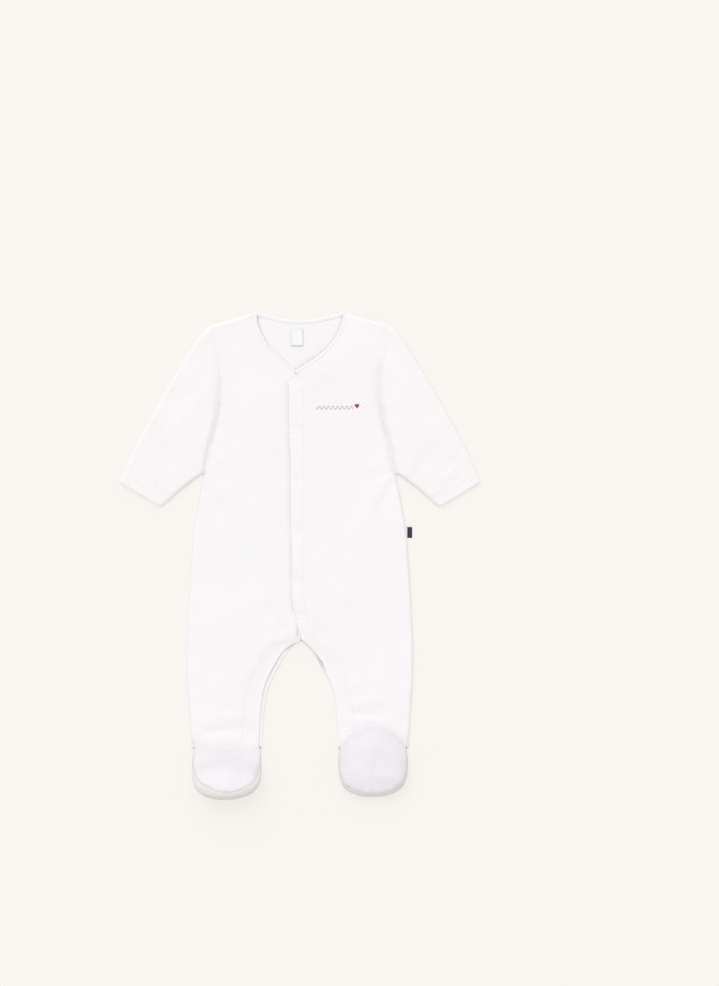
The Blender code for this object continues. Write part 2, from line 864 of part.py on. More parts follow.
def main():
    for old in list(bpy.data.objects):
        bpy.data.objects.remove(old)
    collection("sleepsuit")
    for row in FINISHES:
        finish(row)

    cloth_sheet("back_panel", back_rows(), mirror=True, upside_down=True)
    left = front_rows(OVER)
    right = mirrored(front_rows(UNDER))
    cloth_sheet("front_left", left)
    cloth_sheet("front_right", right)
    for name, side in (("sleeve_left", OVER), ("sleeve_right", UNDER)):
        tube_wall(name, *sleeve_rings(), side)
    path = smoothed(binding_path(), BINDING_STEPS)
    band("neck_binding", path, BINDING_WIDTH, BINDING_THICK, "velour")
    foot("left", FOOT_LEFT, OVER)
    foot("right", FOOT_RIGHT, UNDER)

    near = 2 * SNAP_RADIUS
    for number, down in enumerate(FRONT_SNAPS_DOWN, start=1):
        up = highest(left, FRONT_SNAP_OUT, down, FRONT_SNAP_REACH) + SEAM_GAP
        snap(f"snap_front_{number}", FRONT_SNAP_OUT, down, up)
    leg = follow(INNER_LEG, "down", "out")
    for name, side, rows in (("left", OVER, left), ("right", UNDER, right)):
        for number, row in enumerate(LEG_SNAPS, start=1):
            out = (leg(row["down"]) + row["inset"]) * side
            up = highest(rows, out, row["down"], near) + SEAM_GAP
            snap(f"snap_leg_{name}_{number}", out, row["down"], up)

    tape("neck_label", LABEL["out"], BACK_TOP + SEAM_GAP, LABEL, "tape")
    edge = follow(SIDE, "down", "out")(TAB["down"] + TAB["length"] / 2)
    tape("side_tab", edge + SEAM_GAP + TAB["width"] / 2, 0.0, TAB, "navy")


main()
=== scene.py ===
# %% [markdown]
# # A baby's footed sleepsuit, laid flat on its back
# The suit is cut from thin white cotton velour: a back in one piece with its legs, two
# fronts that lap down the middle, two sleeves, and two feet of an upper and a sole each.
# The solids loaded here give every piece its place, so each cloth piece below is a thin
# skin drawn over the same form, with turned edges, creases and stitches that solids leave out.

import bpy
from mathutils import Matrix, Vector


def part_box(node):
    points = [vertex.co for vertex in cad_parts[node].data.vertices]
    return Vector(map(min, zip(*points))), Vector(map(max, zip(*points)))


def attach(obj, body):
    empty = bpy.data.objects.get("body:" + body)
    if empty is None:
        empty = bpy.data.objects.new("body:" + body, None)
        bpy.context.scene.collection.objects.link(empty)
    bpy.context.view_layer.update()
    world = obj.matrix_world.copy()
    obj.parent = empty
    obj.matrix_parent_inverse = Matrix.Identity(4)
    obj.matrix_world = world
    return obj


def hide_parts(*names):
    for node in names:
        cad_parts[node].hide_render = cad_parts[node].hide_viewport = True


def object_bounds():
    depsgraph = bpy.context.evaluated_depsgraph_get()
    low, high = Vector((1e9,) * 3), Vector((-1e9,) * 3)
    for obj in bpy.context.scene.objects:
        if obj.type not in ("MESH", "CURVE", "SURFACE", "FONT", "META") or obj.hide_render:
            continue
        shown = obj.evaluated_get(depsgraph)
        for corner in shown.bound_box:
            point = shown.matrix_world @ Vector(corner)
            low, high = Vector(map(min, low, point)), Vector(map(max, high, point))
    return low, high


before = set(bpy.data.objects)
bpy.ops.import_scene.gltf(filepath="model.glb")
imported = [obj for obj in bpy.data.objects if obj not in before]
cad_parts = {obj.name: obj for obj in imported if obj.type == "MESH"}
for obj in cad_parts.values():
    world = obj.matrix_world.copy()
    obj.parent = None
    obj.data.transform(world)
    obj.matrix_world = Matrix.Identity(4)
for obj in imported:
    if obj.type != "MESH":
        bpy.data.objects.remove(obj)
cad_low, cad_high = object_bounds()
print("solids:", len(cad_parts), "box", [round(v, 4) for v in (*cad_low, *cad_high)])

# %% Libraries and the suit's own units
import math

import bmesh
import bpy
import numpy as np
from mathutils import Vector

MM = 0.001
TOP = cad_high.y / MM
LEFT, RIGHT = 1, -1
print("top of the shoulders at", round(TOP, 2), "mm")

# %% [markdown]
# ## Lines of the pattern
# A maker draws a pattern as a few curves. Here each curve is a short table: a place along
# it and how far out from the centre line it is, in millimetres. "Down" is counted from the
# top of the shoulders. A smooth curve through a table is one function, so any number of
# points can be taken from it.


# %% Curves through tables
def smooth(*pairs):
    """A soft curve through (where, value) pairs, for numbers or arrays."""
    keys, values = np.array(pairs, float).T
    before = np.maximum(np.arange(len(keys)) - 1, 0)
    after = np.minimum(np.arange(len(keys)) + 1, len(keys) - 1)
    slopes = (values[after] - values[before]) / (keys[after] - keys[before])

    def at(where):
        where = np.clip(np.asarray(where, float), keys[0], keys[-1])
        i = np.clip(np.searchsorted(keys, where, side="left") - 1, 0, len(keys) - 2)
        span = keys[i + 1] - keys[i]
        t = (where - keys[i]) / span
        rise = values[i + 1] - values[i]
        bend = (1 - t) * (slopes[i] * span - rise) - t * (slopes[i + 1] * span - rise)
        return values[i] + rise * t + t * (1 - t) * bend

    return at


def straight(*pairs):
    keys, values = np.array(pairs, float).T
    return lambda where: np.interp(where, keys, values)


def moved_aside(points, distance):
    """A line of (out, down) points moved sideways, to the left of its run."""
    points = np.array(points, float)
    last = len(points) - 1
    run = [points[min(i + 1, last)] - points[max(i - 1, 0)] for i in range(last + 1)]
    return [(o + distance * d[1] / np.hypot(*d), w - distance * d[0] / np.hypot(*d))
            for (o, w), d in zip(points, run)]


neck_over = [
    (49.8, 0.6), (47.6, 14), (41.6, 28), (34, 38.4), (23, 49.4), (13.5, 56), (-2.9, 66.6), (-6.6, 69)]
neck_under = [
    (50, 0.6), (49, 12.6), (44.9, 23.8), (37.8, 37), (30.4, 45.6), (17.6, 57), (6.9, 66), (-1.5, 72)]
neck_back = [(0, 10), (16, 8.8), (32, 5.6), (49.8, 0.6)]
shoulder_neck, shoulder_tip, armpit = (56, 2.4), (101, 15.7), (109.9, 187.2)

armhole = smooth(
    (15.7, 101), (37.5, 98.6), (62.8, 94), (80, 92), (102.5, 92.6), (122.3, 95.2), (142, 100),
    (165, 106), (187.2, 109.9))
side = smooth(
    (187.2, 109.9), (208.8, 114.4), (228.7, 118.1), (250, 122), (276, 124), (321, 127), (378, 129.7),
    (418, 129.7), (469, 126.7), (500, 124.6), (516, 123.4))
inner_leg = smooth(
    (377, 0), (384, 8.4), (391, 14.5), (412, 26.6), (432, 36), (450, 40), (480, 42.6), (516, 43.6))
lap_edges = {
    LEFT: straight(
        (74.8, -4.6), (82.5, -13.1), (120, -12.9), (150, -12.2), (165, -11), (255, -10.4), (275, -9.4),
        (327, -9.2), (341, -7.4), (351, -4.9), (367, -1.2), (372, 0.4)),
    RIGHT: straight(
        (77.4, -2.6), (82.5, -3), (150, -3.2), (321, -2.6), (345, -2.2), (367, -1.8), (372, -1.4)),
}
LAP_FROM, LAP_NARROWS, LAP_END = 82.0, 352.0, 372.0
CROTCH, HEEL, LEVEL_FROM, FOOT_OUT = 377.0, 500.0, 440.0, 83.8
print("hip width", round(2 * float(side(400.0))), "mm, neck width", 2 * neck_over[0][0], "mm")

# %% [markdown]
# ## Unevenness, folds and puckers
# Cloth is never quite flat. Three things are added to every panel's height: a low, wide
# unevenness; long soft folds, each one listed in a table; and the small puckers
# that a line of stitches draws up beside a seam. The unevenness is numbers on a lattice
# with a fixed seed, smoothed between the lattice points, so every run gives the same suit.


# %% Unevenness, folds and puckers
def ease(t):
    t = np.clip(t, 0, 1)
    return t * t * (3 - 2 * t)


def mix(a, b, t):
    return a + (b - a) * t


def uneven(x, y, size, seed):
    """Smooth bumps between -1 and 1, about one size apart."""
    lattice = np.random.default_rng(seed).uniform(-1, 1, (97, 97))
    x, y = np.broadcast_arrays(*(np.asarray(part, float) / size + 500 for part in (x, y)))
    i, j = np.floor(x).astype(int), np.floor(y).astype(int)
    u, v = ease(x - i), ease(y - j)

    def corner(a, b):
        return lattice[(i + a) % 97, (j + b) % 97]

    return mix(mix(corner(0, 0), corner(1, 0), u), mix(corner(0, 1), corner(1, 1), u), v)


def relief(x, y, seed, *layers):
    """Several unevennesses in one, each as high and as wide as its pair says."""
    return sum(high * uneven(x, y, size, seed + i) for i, (high, size) in enumerate(layers))


def folds(rows, out, down):
    """The lift of listed folds: out, down, turn, length, width, high, bend."""
    total = np.zeros(np.broadcast(out, down).shape)
    for at_out, at_down, turn, length, width, high, bend in rows:
        angle = math.radians(turn)
        right, below = out - at_out, down - at_down
        along = (right * math.cos(angle) + below * math.sin(angle)) * 2 / length
        across = below * math.cos(angle) - right * math.sin(angle) - bend * along**2
        reach = np.clip(1 - along**2, 0, 1) ** 1.5
        total += high * reach * np.exp(-((across / width) ** 2))
    return total


def puckers(along, away, pitch, reach, seed):
    """Small waves across a seam that fade within reach of it."""
    wave = uneven(along, away * 0.25, pitch, seed) + 0.5 * uneven(along, away, pitch * 0.5, seed + 1)
    return wave * np.exp(-((away / reach) ** 2))


def rounded(away, radius):
    """0 at a seam, rising to 1 along a quarter circle."""
    t = np.clip(away / radius, 0, 1)
    return np.sqrt(1 - (1 - t) ** 2)


def sunk(away, reach):
    """0 at a seam in the middle of the cloth, rising to 1 along a soft slope."""
    return 1 - (1 - np.clip(away / reach, 0, 1)) ** 3


def dip(away, width):
    """1 in the middle of a groove or dent, falling smoothly to 0."""
    return np.exp(-((away / width) ** 2))


print("unevenness at one place:", round(float(uneven(20, 30, 60, 4)), 3))

# %% [markdown]
# ## From a grid of points to cloth
# Every panel is a grid: rows down the suit, columns across it. Two things turn the grid
# into cloth. First its free edges are rolled under, as a seam or a hem rolls them: ring
# after ring of points goes over a half circle and a little way back beneath. Then the
# Solidify modifier gives the skin its thickness, inwards, and its result is kept as a
# plain mesh.


# %% Grids, rolled edges and skins
SKIN, ROLL = 0.5, 0.85
SMALL_ROLL = {"roll": 0.7, "under": 2.0}
EDGE_INSETS = (0.0, 0.3, 0.7, 1.25, 1.9, 2.7, 3.6, 4.6, 5.8)


def stations(width, near_start, near_end, middle):
    """Places from 0 to width, with the given insets at its ends, for one or many widths."""
    width = np.asarray(width, float)[..., None]
    shape = width.shape[:-1]
    first = np.broadcast_to(near_start, shape + (len(near_start),))
    last = width - np.array(near_end, float)[::-1]
    share = np.arange(1, middle + 1) / (middle + 1)
    return np.concatenate([first, first[..., -1:] + (last[..., :1] - first[..., -1:]) * share, last],
                          axis=-1)


def place(out, down, up, painted_shade=0.0):
    """Points of the suit, each with the share of painted shade on its colour, from 0 to 1."""
    return np.stack(np.broadcast_arrays(out, TOP - np.asarray(down, float), up, painted_shade), axis=-1)


def on_side(grid, which):
    """The grid on the suit's left or right, with its outer side still outwards."""
    return grid if which == LEFT else (grid * (-1.0, 1.0, 1.0, 1.0))[:, ::-1]


def roll_edges(build, radius, under, steps=5):
    """Rolls each free edge over a half circle and a little way back."""
    build.normal_update()
    rim = [edge.link_loops[0] for edge in build.edges if edge.is_boundary]
    runs, outs = {}, {}
    for loop in rim:
        a, b = loop.vert, loop.link_loop_next.vert
        run = (b.co - a.co).normalized()
        for vert in (a, b):
            runs[vert] = runs.get(vert, Vector()) + run
            outs[vert] = outs.get(vert, Vector()) + run.cross(loop.face.normal)
    # The painted shade of each rim point goes to the points rolled under it.
    shade_paint = build.verts.layers.float["painted_shade"]
    rings = {}
    for vert, out in outs.items():
        run = runs[vert].normalized()
        up = (vert.normal - run * vert.normal.dot(run)).normalized()
        ahead = (out - up * out.dot(up)).normalized()
        centre = vert.co - up * radius
        ring = [vert]
        for step in range(1, steps + 1):
            angle = math.pi * step / steps
            spot = centre + radius * (up * math.cos(angle) + ahead * math.sin(angle))
            ring.append(build.verts.new(spot))
        ring.append(build.verts.new(ring[-1].co - ahead * under))
        for point in ring[1:]:
            point[shade_paint] = vert[shade_paint]
        rings[vert] = ring
    for loop in rim:
        a, b = rings[loop.vert], rings[loop.link_loop_next.vert]
        for i in range(steps + 1):
            build.faces.new((b[i], a[i], a[i + 1], b[i + 1]))


def in_scene(name, data):
    """A new object in the scene, with the given mesh, light or camera."""
    made = bpy.data.objects.new(name, data)
    bpy.context.scene.collection.objects.link(made)
    return made


def mesh_from(build, name):
    mesh = bpy.data.meshes.new(name)
    build.to_mesh(mesh)
    build.free()
    return mesh


def keep_result(made):
    """Puts the modifiers' result in place of the object's mesh and takes them off."""
    shown = made.evaluated_get(bpy.context.evaluated_depsgraph_get())
    mesh = bpy.data.meshes.new_from_object(shown)
    made.modifiers.clear()
    made.data = mesh
    mesh.shade_smooth()


def cloth(name, grids, material, loop=False, roll=ROLL, under=3.0, thick=SKIN, low=0.03):
    """A thin closed shell on one or more grids whose faces look out of the suit."""
    build = bmesh.new()
    # A point layer holds the painted shade that darkens the velour's colour.
    shade_paint = build.verts.layers.float.new("painted_shade")
    for grid in grids:
        rows, columns = grid.shape[:2]
        points = [build.verts.new(p) for p in (grid[..., :3].reshape(-1, 3) * MM).tolist()]
        for point, painted_shade in zip(points, grid[..., 3].ravel().tolist()):
            point[shade_paint] = painted_shade
        for r in range(rows - 1):
            for c in range(columns if loop else columns - 1):
                d = (c + 1) % columns
                corners = (r, c), (r + 1, c), (r + 1, d), (r, d)
                build.faces.new([points[i * columns + j] for i, j in corners])
    bmesh.ops.remove_doubles(build, verts=build.verts, dist=0.001 * MM)
    if roll:
        roll_edges(build, roll * MM, under * MM)
    mesh = mesh_from(build, name)
    mesh.materials.append(material)
    made = in_scene(name, mesh)
    if thick:
        wall = made.modifiers.new("Wall", "SOLIDIFY")
        wall.thickness, wall.offset = thick * MM, -1
    keep_result(made)
    spots = np.empty(len(made.data.vertices) * 3, np.float32)
    made.data.vertices.foreach_get("co", spots)
    spots[2::3] = np.maximum(spots[2::3], low * MM)
    made.data.vertices.foreach_set("co", spots)
    print(f"{name}: {len(made.data.vertices)} points, about {2 * len(made.data.polygons)} triangles")
    return made


print("skin", SKIN, "mm, edges rolled over", ROLL, "mm")

# %% [markdown]
# ## Velour
# Velour is a knit with a short brushed pile. Seen close it is a soft grain, seen from a
# step away it has faint lighter and darker patches where the pile leans, and its edges
# look a little lighter, which the shader's sheen gives. White cloth shows nearly all of
# this through its bumps, so the colour changes very little, except where shade is painted
# into it beside seams, in creases and in gaps.
# The small class below lets shader maths be written as ordinary sums.


# %% Shader sums
class Value:
    """A socket that can be added, multiplied and taken away like a number."""

    def __init__(self, shader, socket):
        self.shader, self.socket = shader, socket

    def _with(self, operation, a, b):
        sockets = [v.socket if isinstance(v, Value) else v for v in (a, b)]
        return self.shader.value("ShaderNodeMath", {"operation": operation}, dict(enumerate(sockets)))

    def __add__(self, other):
        return self._with("ADD", self, other)

    def __sub__(self, other):
        return self._with("SUBTRACT", self, other)

    def __rsub__(self, other):
        return self._with("SUBTRACT", other, self)

    def __mul__(self, other):
        return self._with("MULTIPLY", self, other)

    __radd__, __rmul__ = __add__, __mul__


class Nodes:
    """Adds nodes to a tree, sets them and links their sockets."""

    def node(self, kind, settings=None, sockets=None):
        made = self.tree.nodes.new(kind)
        for key, value in (settings or {}).items():
            setattr(made, key, value)
        for key, value in (sockets or {}).items():
            self.put(made.inputs[key], value)
        return made

    def put(self, socket, value):
        value = value.socket if isinstance(value, Value) else value
        if isinstance(value, bpy.types.NodeSocket):
            self.tree.links.new(value, socket)
        else:
            socket.default_value = value


class Shader(Nodes):
    """A node material with one Principled shader."""

    def __init__(self, name, **uniform):
        self.material = bpy.data.materials.new(name)
        self.material.use_nodes = True
        self.tree = self.material.node_tree
        self.base = self.tree.nodes["Principled BSDF"]
        self.set(**uniform)

    def value(self, kind, settings=None, sockets=None, output=0):
        return Value(self, self.node(kind, settings, sockets).outputs[output])

    def set(self, **sockets):
        for key, value in sockets.items():
            self.put(self.base.inputs[key.replace("_", " ")], value)

    def where(self, stretch=None):
        """Places on the piece, in metres, or stretched for each axis."""
        spot = self.value("ShaderNodeTexCoord", output=3)
        if stretch is None:
            return spot
        return self.value("ShaderNodeVectorMath", {"operation": "MULTIPLY"}, {0: spot, 1: stretch})

    def noise(self, spot, scale, detail=2.0, rough=0.5):
        return self.value("ShaderNodeTexNoise", {}, {
            "Vector": spot, "Scale": scale, "Detail": detail, "Roughness": rough})

    def colour(self, a, b, mask):
        return self.value("ShaderNodeMix", {"data_type": "RGBA"}, {0: mask, 6: a, 7: b}, output=2)

    def bump(self, height, strength, distance):
        self.set(Normal=self.value("ShaderNodeBump", {}, {
            "Height": height, "Strength": strength, "Distance": distance}))


print("shader helpers ready")


# %% Velour and thread finishes
# The darkest tone of the painted shade, as a share of the velour's colour.
PAINTED_SHADE_TONE = 0.72


def tint(red, green, blue):
    return (red, green, blue, 1.0)


def darker(colour, share):
    return tint(*(share * part for part in colour[:3]))


def velour(name, colour, grain):
    """Pile whose colour drifts a little, darkened by painted shade beside seams, in creases and in gaps.
    """
    made = Shader(name, Sheen_Weight=0.15, Sheen_Roughness=0.5, Specular_IOR_Level=0.2)
    spot = made.where()
    pile, tufts = made.noise(spot, 1500.0, 3.0, 0.6), made.noise(spot, 420.0, 2.0, 0.55)
    lean, drift = made.noise(spot, 26.0, 3.0, 0.55), made.noise(spot, 7.0)
    # Painted shade: the colour darkens towards that tone where the cloth's points carry it.
    shade_paint = made.value("ShaderNodeAttribute", {"attribute_name": "painted_shade"}, output=2)
    stroked = made.colour(colour, darker(colour, 0.965), lean * 0.55 + drift * 0.45)
    made.set(Base_Color=made.colour(stroked, darker(colour, PAINTED_SHADE_TONE), shade_paint),
             Roughness=0.84 + tufts * 0.14)
    made.bump(pile * 0.5 + tufts + lean * 0.8, grain, 0.0006)
    return made.material


def thread(name, colour, rough):
    made = Shader(name, Sheen_Weight=0.15, Specular_IOR_Level=0.3)
    twist = made.noise(made.where(), 2200.0)
    made.set(Base_Color=made.colour(colour, darker(colour, 0.8), twist), Roughness=rough + twist * 0.2)
    made.bump(twist, 0.3, 0.0002)
    return made.material


velour_body = velour("velour_body", tint(0.850, 0.836, 0.844), 0.35)
# The feet are a little bluer than the body. Their darker tone, darkest on the soles that face down, is
# painted shade.
velour_foot = velour("velour_foot", tint(0.788, 0.775, 0.798), 0.5)
velour_sole = velour("velour_sole", tint(0.745, 0.722, 0.722), 0.6)
white_thread = thread("white_thread", tint(0.80, 0.79, 0.80), 0.6)
grey_thread = thread("grey_thread", tint(0.40, 0.39, 0.40), 0.6)
pale_thread = thread("pale_thread", tint(0.66, 0.65, 0.66), 0.6)
red_thread = thread("red_thread", tint(0.55, 0.02, 0.035), 0.45)
print("finishes:", [material.name for material in bpy.data.materials][-7:])

# %% [markdown]
# ## The two fronts
# Each front runs from the shoulder down its leg in one piece. The left one laps over the
# right along a placket with snaps. The height of a point is the solid's height, brought
# down along a quarter circle at every sewn edge, with folds and puckers added. The rows
# slant from the neck to the armhole and then run level down the leg, and the last ones
# bend to the ankle seam.

# %% Heights and folds of the fronts
SEAM_UP, FRONT_UP = 2.6, 6.4
NECK_EDGE_IN = 4.3
leg_edge_in = {
    LEFT: smooth(
        (377, 0.9), (389, 1), (396, 1.9), (402, 2.6), (408, 2.3), (415, 1.2), (420, 0.9), (520, 0.9)),
    RIGHT: smooth((373, -1.4), (378, -0.4), (384, 1.6), (392, 3.4), (400, 3.85), (520, 3.85)),
}
ARM_SEAM_IN, ARM_SEAM_WIDE = 0.25, 4.6
arm_seam_deep = smooth(
    (15.7, 0.5), (44, 0.35), (79, 1.3), (125, 2.3), (159, 2.3), (187.2, 2))
PLACKET, LEG_HEM, CUFF_HEM = 15.0, 18.0, 9.5
placket_stitched = straight((82, 4.2), (330, 4.6), (347, 6.9), (361, 7.9))
front_snap_places = [(-5, 79.5), (-5, 136), (-4.7, 194.5), (-4.4, 253), (-3.6, 309.5), (0.2, 350)]
leg_snap_places = ((440, 12), (478, 11))

slant = np.array([
    (2.4, 15.7), (22, 36), (32, 50), (42, 64), (52, 78), (62, 91), (70, 104), (78, 115), (84, 124),
    (104, 140), (128, 156), (152, 171), (172, 181), (187.2, 187.2), (230, 230),
    (LEVEL_FROM, LEVEL_FROM)])

free_edge_up = {
    LEFT: straight(
        (0.6, 4.6), (25, 5.2), (50, 6.2), (70, 7.1), (355, 7.1), (374, 6.9), (394, 4.6), (520, 3.4)),
    RIGHT: straight(
        (0.6, 4.6), (25, 4.9), (50, 4.9), (66, 4.8), (355, 4.8), (374, 4.7), (386, 4.2), (394, 4.1),
        (520, 3.5)),
}
free_edge_keep = {
    LEFT: straight((0.6, 0), (50, 0), (70, 18), (355, 18), (374, 8), (394, 5), (520, 5)),
    RIGHT: straight((0.6, 0), (25, 0), (50, 4), (66, 16), (355, 15), (374, 8), (394, 4), (520, 4)),
}
free_edge_ramp = {LEFT: 16, RIGHT: 28}
body_folds = {
    LEFT: [
        (84, 222, 118, 110, 9, 1.2, 6), (97, 214, 126, 70, 5, -0.7, 4), (70, 128, 70, 74, 12, 0.8, 5),
        (60, 330, 28, 84, 12, 0.8, -6), (98, 402, 96, 120, 10, 0.9, 5),
        (112, 330, 92, 120, 8, -0.6, 3), (34, 210, 88, 150, 11, 0.6, 4),
        (52, 262, 104, 110, 9, -0.5, 5), (28, 352, 52, 52, 5, 0.7, -3),
        (22, 366, 38, 40, 3.5, -0.6, 2), (44, 384, 64, 60, 6, 0.6, 5), (72, 462, 8, 62, 5, -0.9, 4),
        (78, 448, 172, 66, 6, 0.7, -4), (60, 430, 150, 40, 5, 0.5, 3), (88, 176, 138, 46, 4, 0.6, 3),
        (92, 190, 152, 40, 3.5, -0.5, 3), (76, 40, 62, 46, 7, 0.4, 3), (5, 366, 96, 22, 1.6, -1.0, 1),
        (10, 372, 70, 20, 1.8, -0.8, 2), (17, 380, 60, 26, 2.4, -0.7, 2),
        (14, 362, 84, 30, 3.0, 0.6, -2)],
    RIGHT: [
        (88, 206, 112, 96, 9, 1.2, -5), (98, 222, 122, 64, 5, -0.7, 5), (62, 112, 64, 66, 12, 0.7, -4),
        (66, 342, 34, 90, 12, 0.9, 6), (92, 424, 88, 110, 10, 0.8, -4),
        (108, 300, 94, 130, 8, -0.6, 4), (40, 176, 84, 120, 10, 0.5, 5),
        (46, 286, 96, 120, 9, 0.6, -5), (26, 350, 48, 50, 5, 0.6, 3), (18, 364, 30, 36, 3.5, -0.6, -2),
        (40, 390, 60, 64, 6, 0.7, 4), (84, 480, 4, 70, 5, -1.1, 3), (74, 466, 176, 74, 6, 0.8, -3),
        (102, 474, 160, 44, 5, 0.6, 3), (90, 172, 136, 50, 4, 0.6, -3),
        (94, 192, 150, 38, 3.5, -0.5, 3), (72, 46, 58, 44, 7, 0.4, -3), (3, 368, 92, 24, 1.6, -1.1, 1),
        (8, 374, 66, 22, 1.8, -0.9, -2), (15, 386, 52, 26, 2.2, -0.8, 2),
        (20, 376, 58, 40, 3.4, 0.6, 3)],
}
print("folds placed on the fronts:", [len(rows) for rows in body_folds.values()])


# %% One front
def free_edge(which):
    """Where a front's neckline, lap and inner leg are: how far out for how far down."""
    neck = moved_aside(neck_over if which == LEFT else neck_under, NECK_EDGE_IN)
    neck_out = smooth(*[(down, out) for out, down in neck])
    last_out, neck_end = neck[-1]

    def at(down):
        down = np.asarray(down, float)
        lap = mix(last_out, lap_edges[which](down), ease((down - neck_end) / 3))
        inset = leg_edge_in[which](down)
        leg = inner_leg(down + inset) + inset
        return np.where(down <= neck_end, neck_out(down), np.where(down <= LAP_END, lap, leg))

    return at


def gathers(which, out, away):
    """The dip and the small gathers that run across an ankle seam."""
    return 0.5 * puckers(out, away, 8, 10, 90 + which) - 0.5 * dip(away, 6)


def front_up(which, out, down, from_edge, from_seam, from_top, from_end, ankle_up):
    """The height of a front's cloth, from how far a place is from its four edges."""
    free = ease((from_edge - free_edge_keep[which](down)) / free_edge_ramp[which])
    seed = 20 if which == LEFT else 60
    soft = folds(body_folds[which], out, down)
    soft += relief(out, down, seed, (0.5, 62), (0.22, 24), (0.07, 9))
    up = mix(free_edge_up[which](down), FRONT_UP, free) + soft * mix(0.25, 1, free)
    at_arm = ease((armpit[1] + 4 - down) / 12)
    up += 0.4 * puckers(down, from_seam, 9, 11, seed + 3)
    up += 0.3 * puckers(out, from_top, 9, 9, seed + 5)
    up -= at_arm * arm_seam_deep(down) * dip(from_seam, ARM_SEAM_WIDE)
    up = mix(SEAM_UP, up, np.maximum(rounded(from_seam, 4.2), at_arm))
    up = mix(SEAM_UP, up, rounded(from_top, 4))
    up = mix(ankle_up, up, ease(from_end / 14)) + gathers(which, out, from_end)
    if which == LEFT:
        on_lap = ease((down - LAP_FROM) / 6) * ease((LAP_NARROWS - down) / 10)
        deep = mix(0.3, 0.65, ease((down - LAP_NARROWS + 30) / 14))
        groove = deep * dip(out - placket_stitched(down), 1.1)
        up += on_lap * 0.22 * dip(from_edge - PLACKET / 2 - 1, 6)
        up -= ease((down - LAP_FROM) / 6) * ease((LAP_END - 6 - down) / 6) * groove
        for snap_out, snap_down in front_snap_places:
            up -= 0.85 * dip(np.hypot(out - snap_out, (down - snap_down) * 0.9), 6.5)
            up -= 0.25 * dip(down - snap_down, 3) * ease((PLACKET + 3 - from_edge) / 6)
    up -= 0.2 * ease((down - 392) / 14) * dip(from_edge - LEG_HEM, 1.1)
    for snap_down, inset in leg_snap_places:
        up -= 0.4 * dip(np.hypot(out - inner_leg(snap_down) - inset, down - snap_down), 6)
    return up


def seam_painted_shade(from_seam, down):
    """Painted shade in the valley beside an armhole."""
    return np.where(down < armpit[1], 0.1 * arm_seam_deep(down) * dip(from_seam, ARM_SEAM_WIDE), 0)


def front_grid(which, ankle):
    edge = free_edge(which)
    middle = slant.mean(axis=1)
    reach = stations(middle[-1] - middle[0], EDGE_INSETS, (0.0,), 225)
    bend = stations(1.0, (0.03,), (0.0, 0.008, 0.02, 0.035, 0.055, 0.08), 24)
    inner = np.interp(reach, middle - middle[0], slant[:, 0])
    outer = np.interp(reach, middle - middle[0], slant[:, 1])
    bend = np.concatenate([np.zeros(len(reach)), bend])[:, None]
    level = np.full(len(bend) - len(reach), LEVEL_FROM)
    inner = np.concatenate([inner, level])[:, None]
    outer = np.concatenate([outer, level])[:, None]

    far = np.where(outer <= armpit[1], armhole(outer) - ARM_SEAM_IN, side(outer))
    near = edge(inner) + ROLL
    share = stations((far - near)[:, 0], EDGE_INSETS, EDGE_INSETS, 58) / (far - near)
    end = ankle[0](mix(edge(HEEL), side(HEEL), share))
    down = mix(mix(inner, outer, share), end, bend)
    near = edge(np.where(bend > 0, down, inner)) + ROLL
    far = np.where(down > armpit[1], side(down), armhole(outer) - ARM_SEAM_IN)
    out = mix(near, far, share)
    top = np.interp(out, *zip((0, 2.4), shoulder_neck, shoulder_tip))
    from_end = np.maximum(end - down, 0)
    up = front_up(which, out, down, out - near, far - out, np.maximum(down - top, 0), from_end,
                  ankle[1](out))
    # Painted shade: in the armhole valley and above the ankle seam, and on the right front a patch at the
    # crotch, a dark streak at the foot of the placket and the shadow cast beside the lap's edge.
    painted_shade = seam_painted_shade(far - out, down) + 0.16 * dip(from_end, 6)
    if which == RIGHT:
        painted_shade += 0.3 * dip(np.hypot(out - 6, down - 384), 8)
        painted_shade += 0.8 * dip(out - 3.2, 1.5) * dip(down - 369, 6)
        beside_lap = dip(out + lap_edges[LEFT](down) - 1.8, 3)
        painted_shade += 0.18 * ease((down - LAP_FROM + 10) / 4) * ease((LAP_NARROWS - down) / 10) * beside_lap
    return place(out, down, up, painted_shade)


print("front grids defined")

# %% [markdown]
# ## Feet
# Each foot is a soft pouch of two pieces: an upper, whose top edge is gathered into the
# ankle seam, and a sole. The pouch is a set of hoops, one for each row of a table, running
# from the middle of its top, over the seam between upper and sole, to the middle of its
# bottom. The left foot lies with its toe down, the right one with its toe a little up.

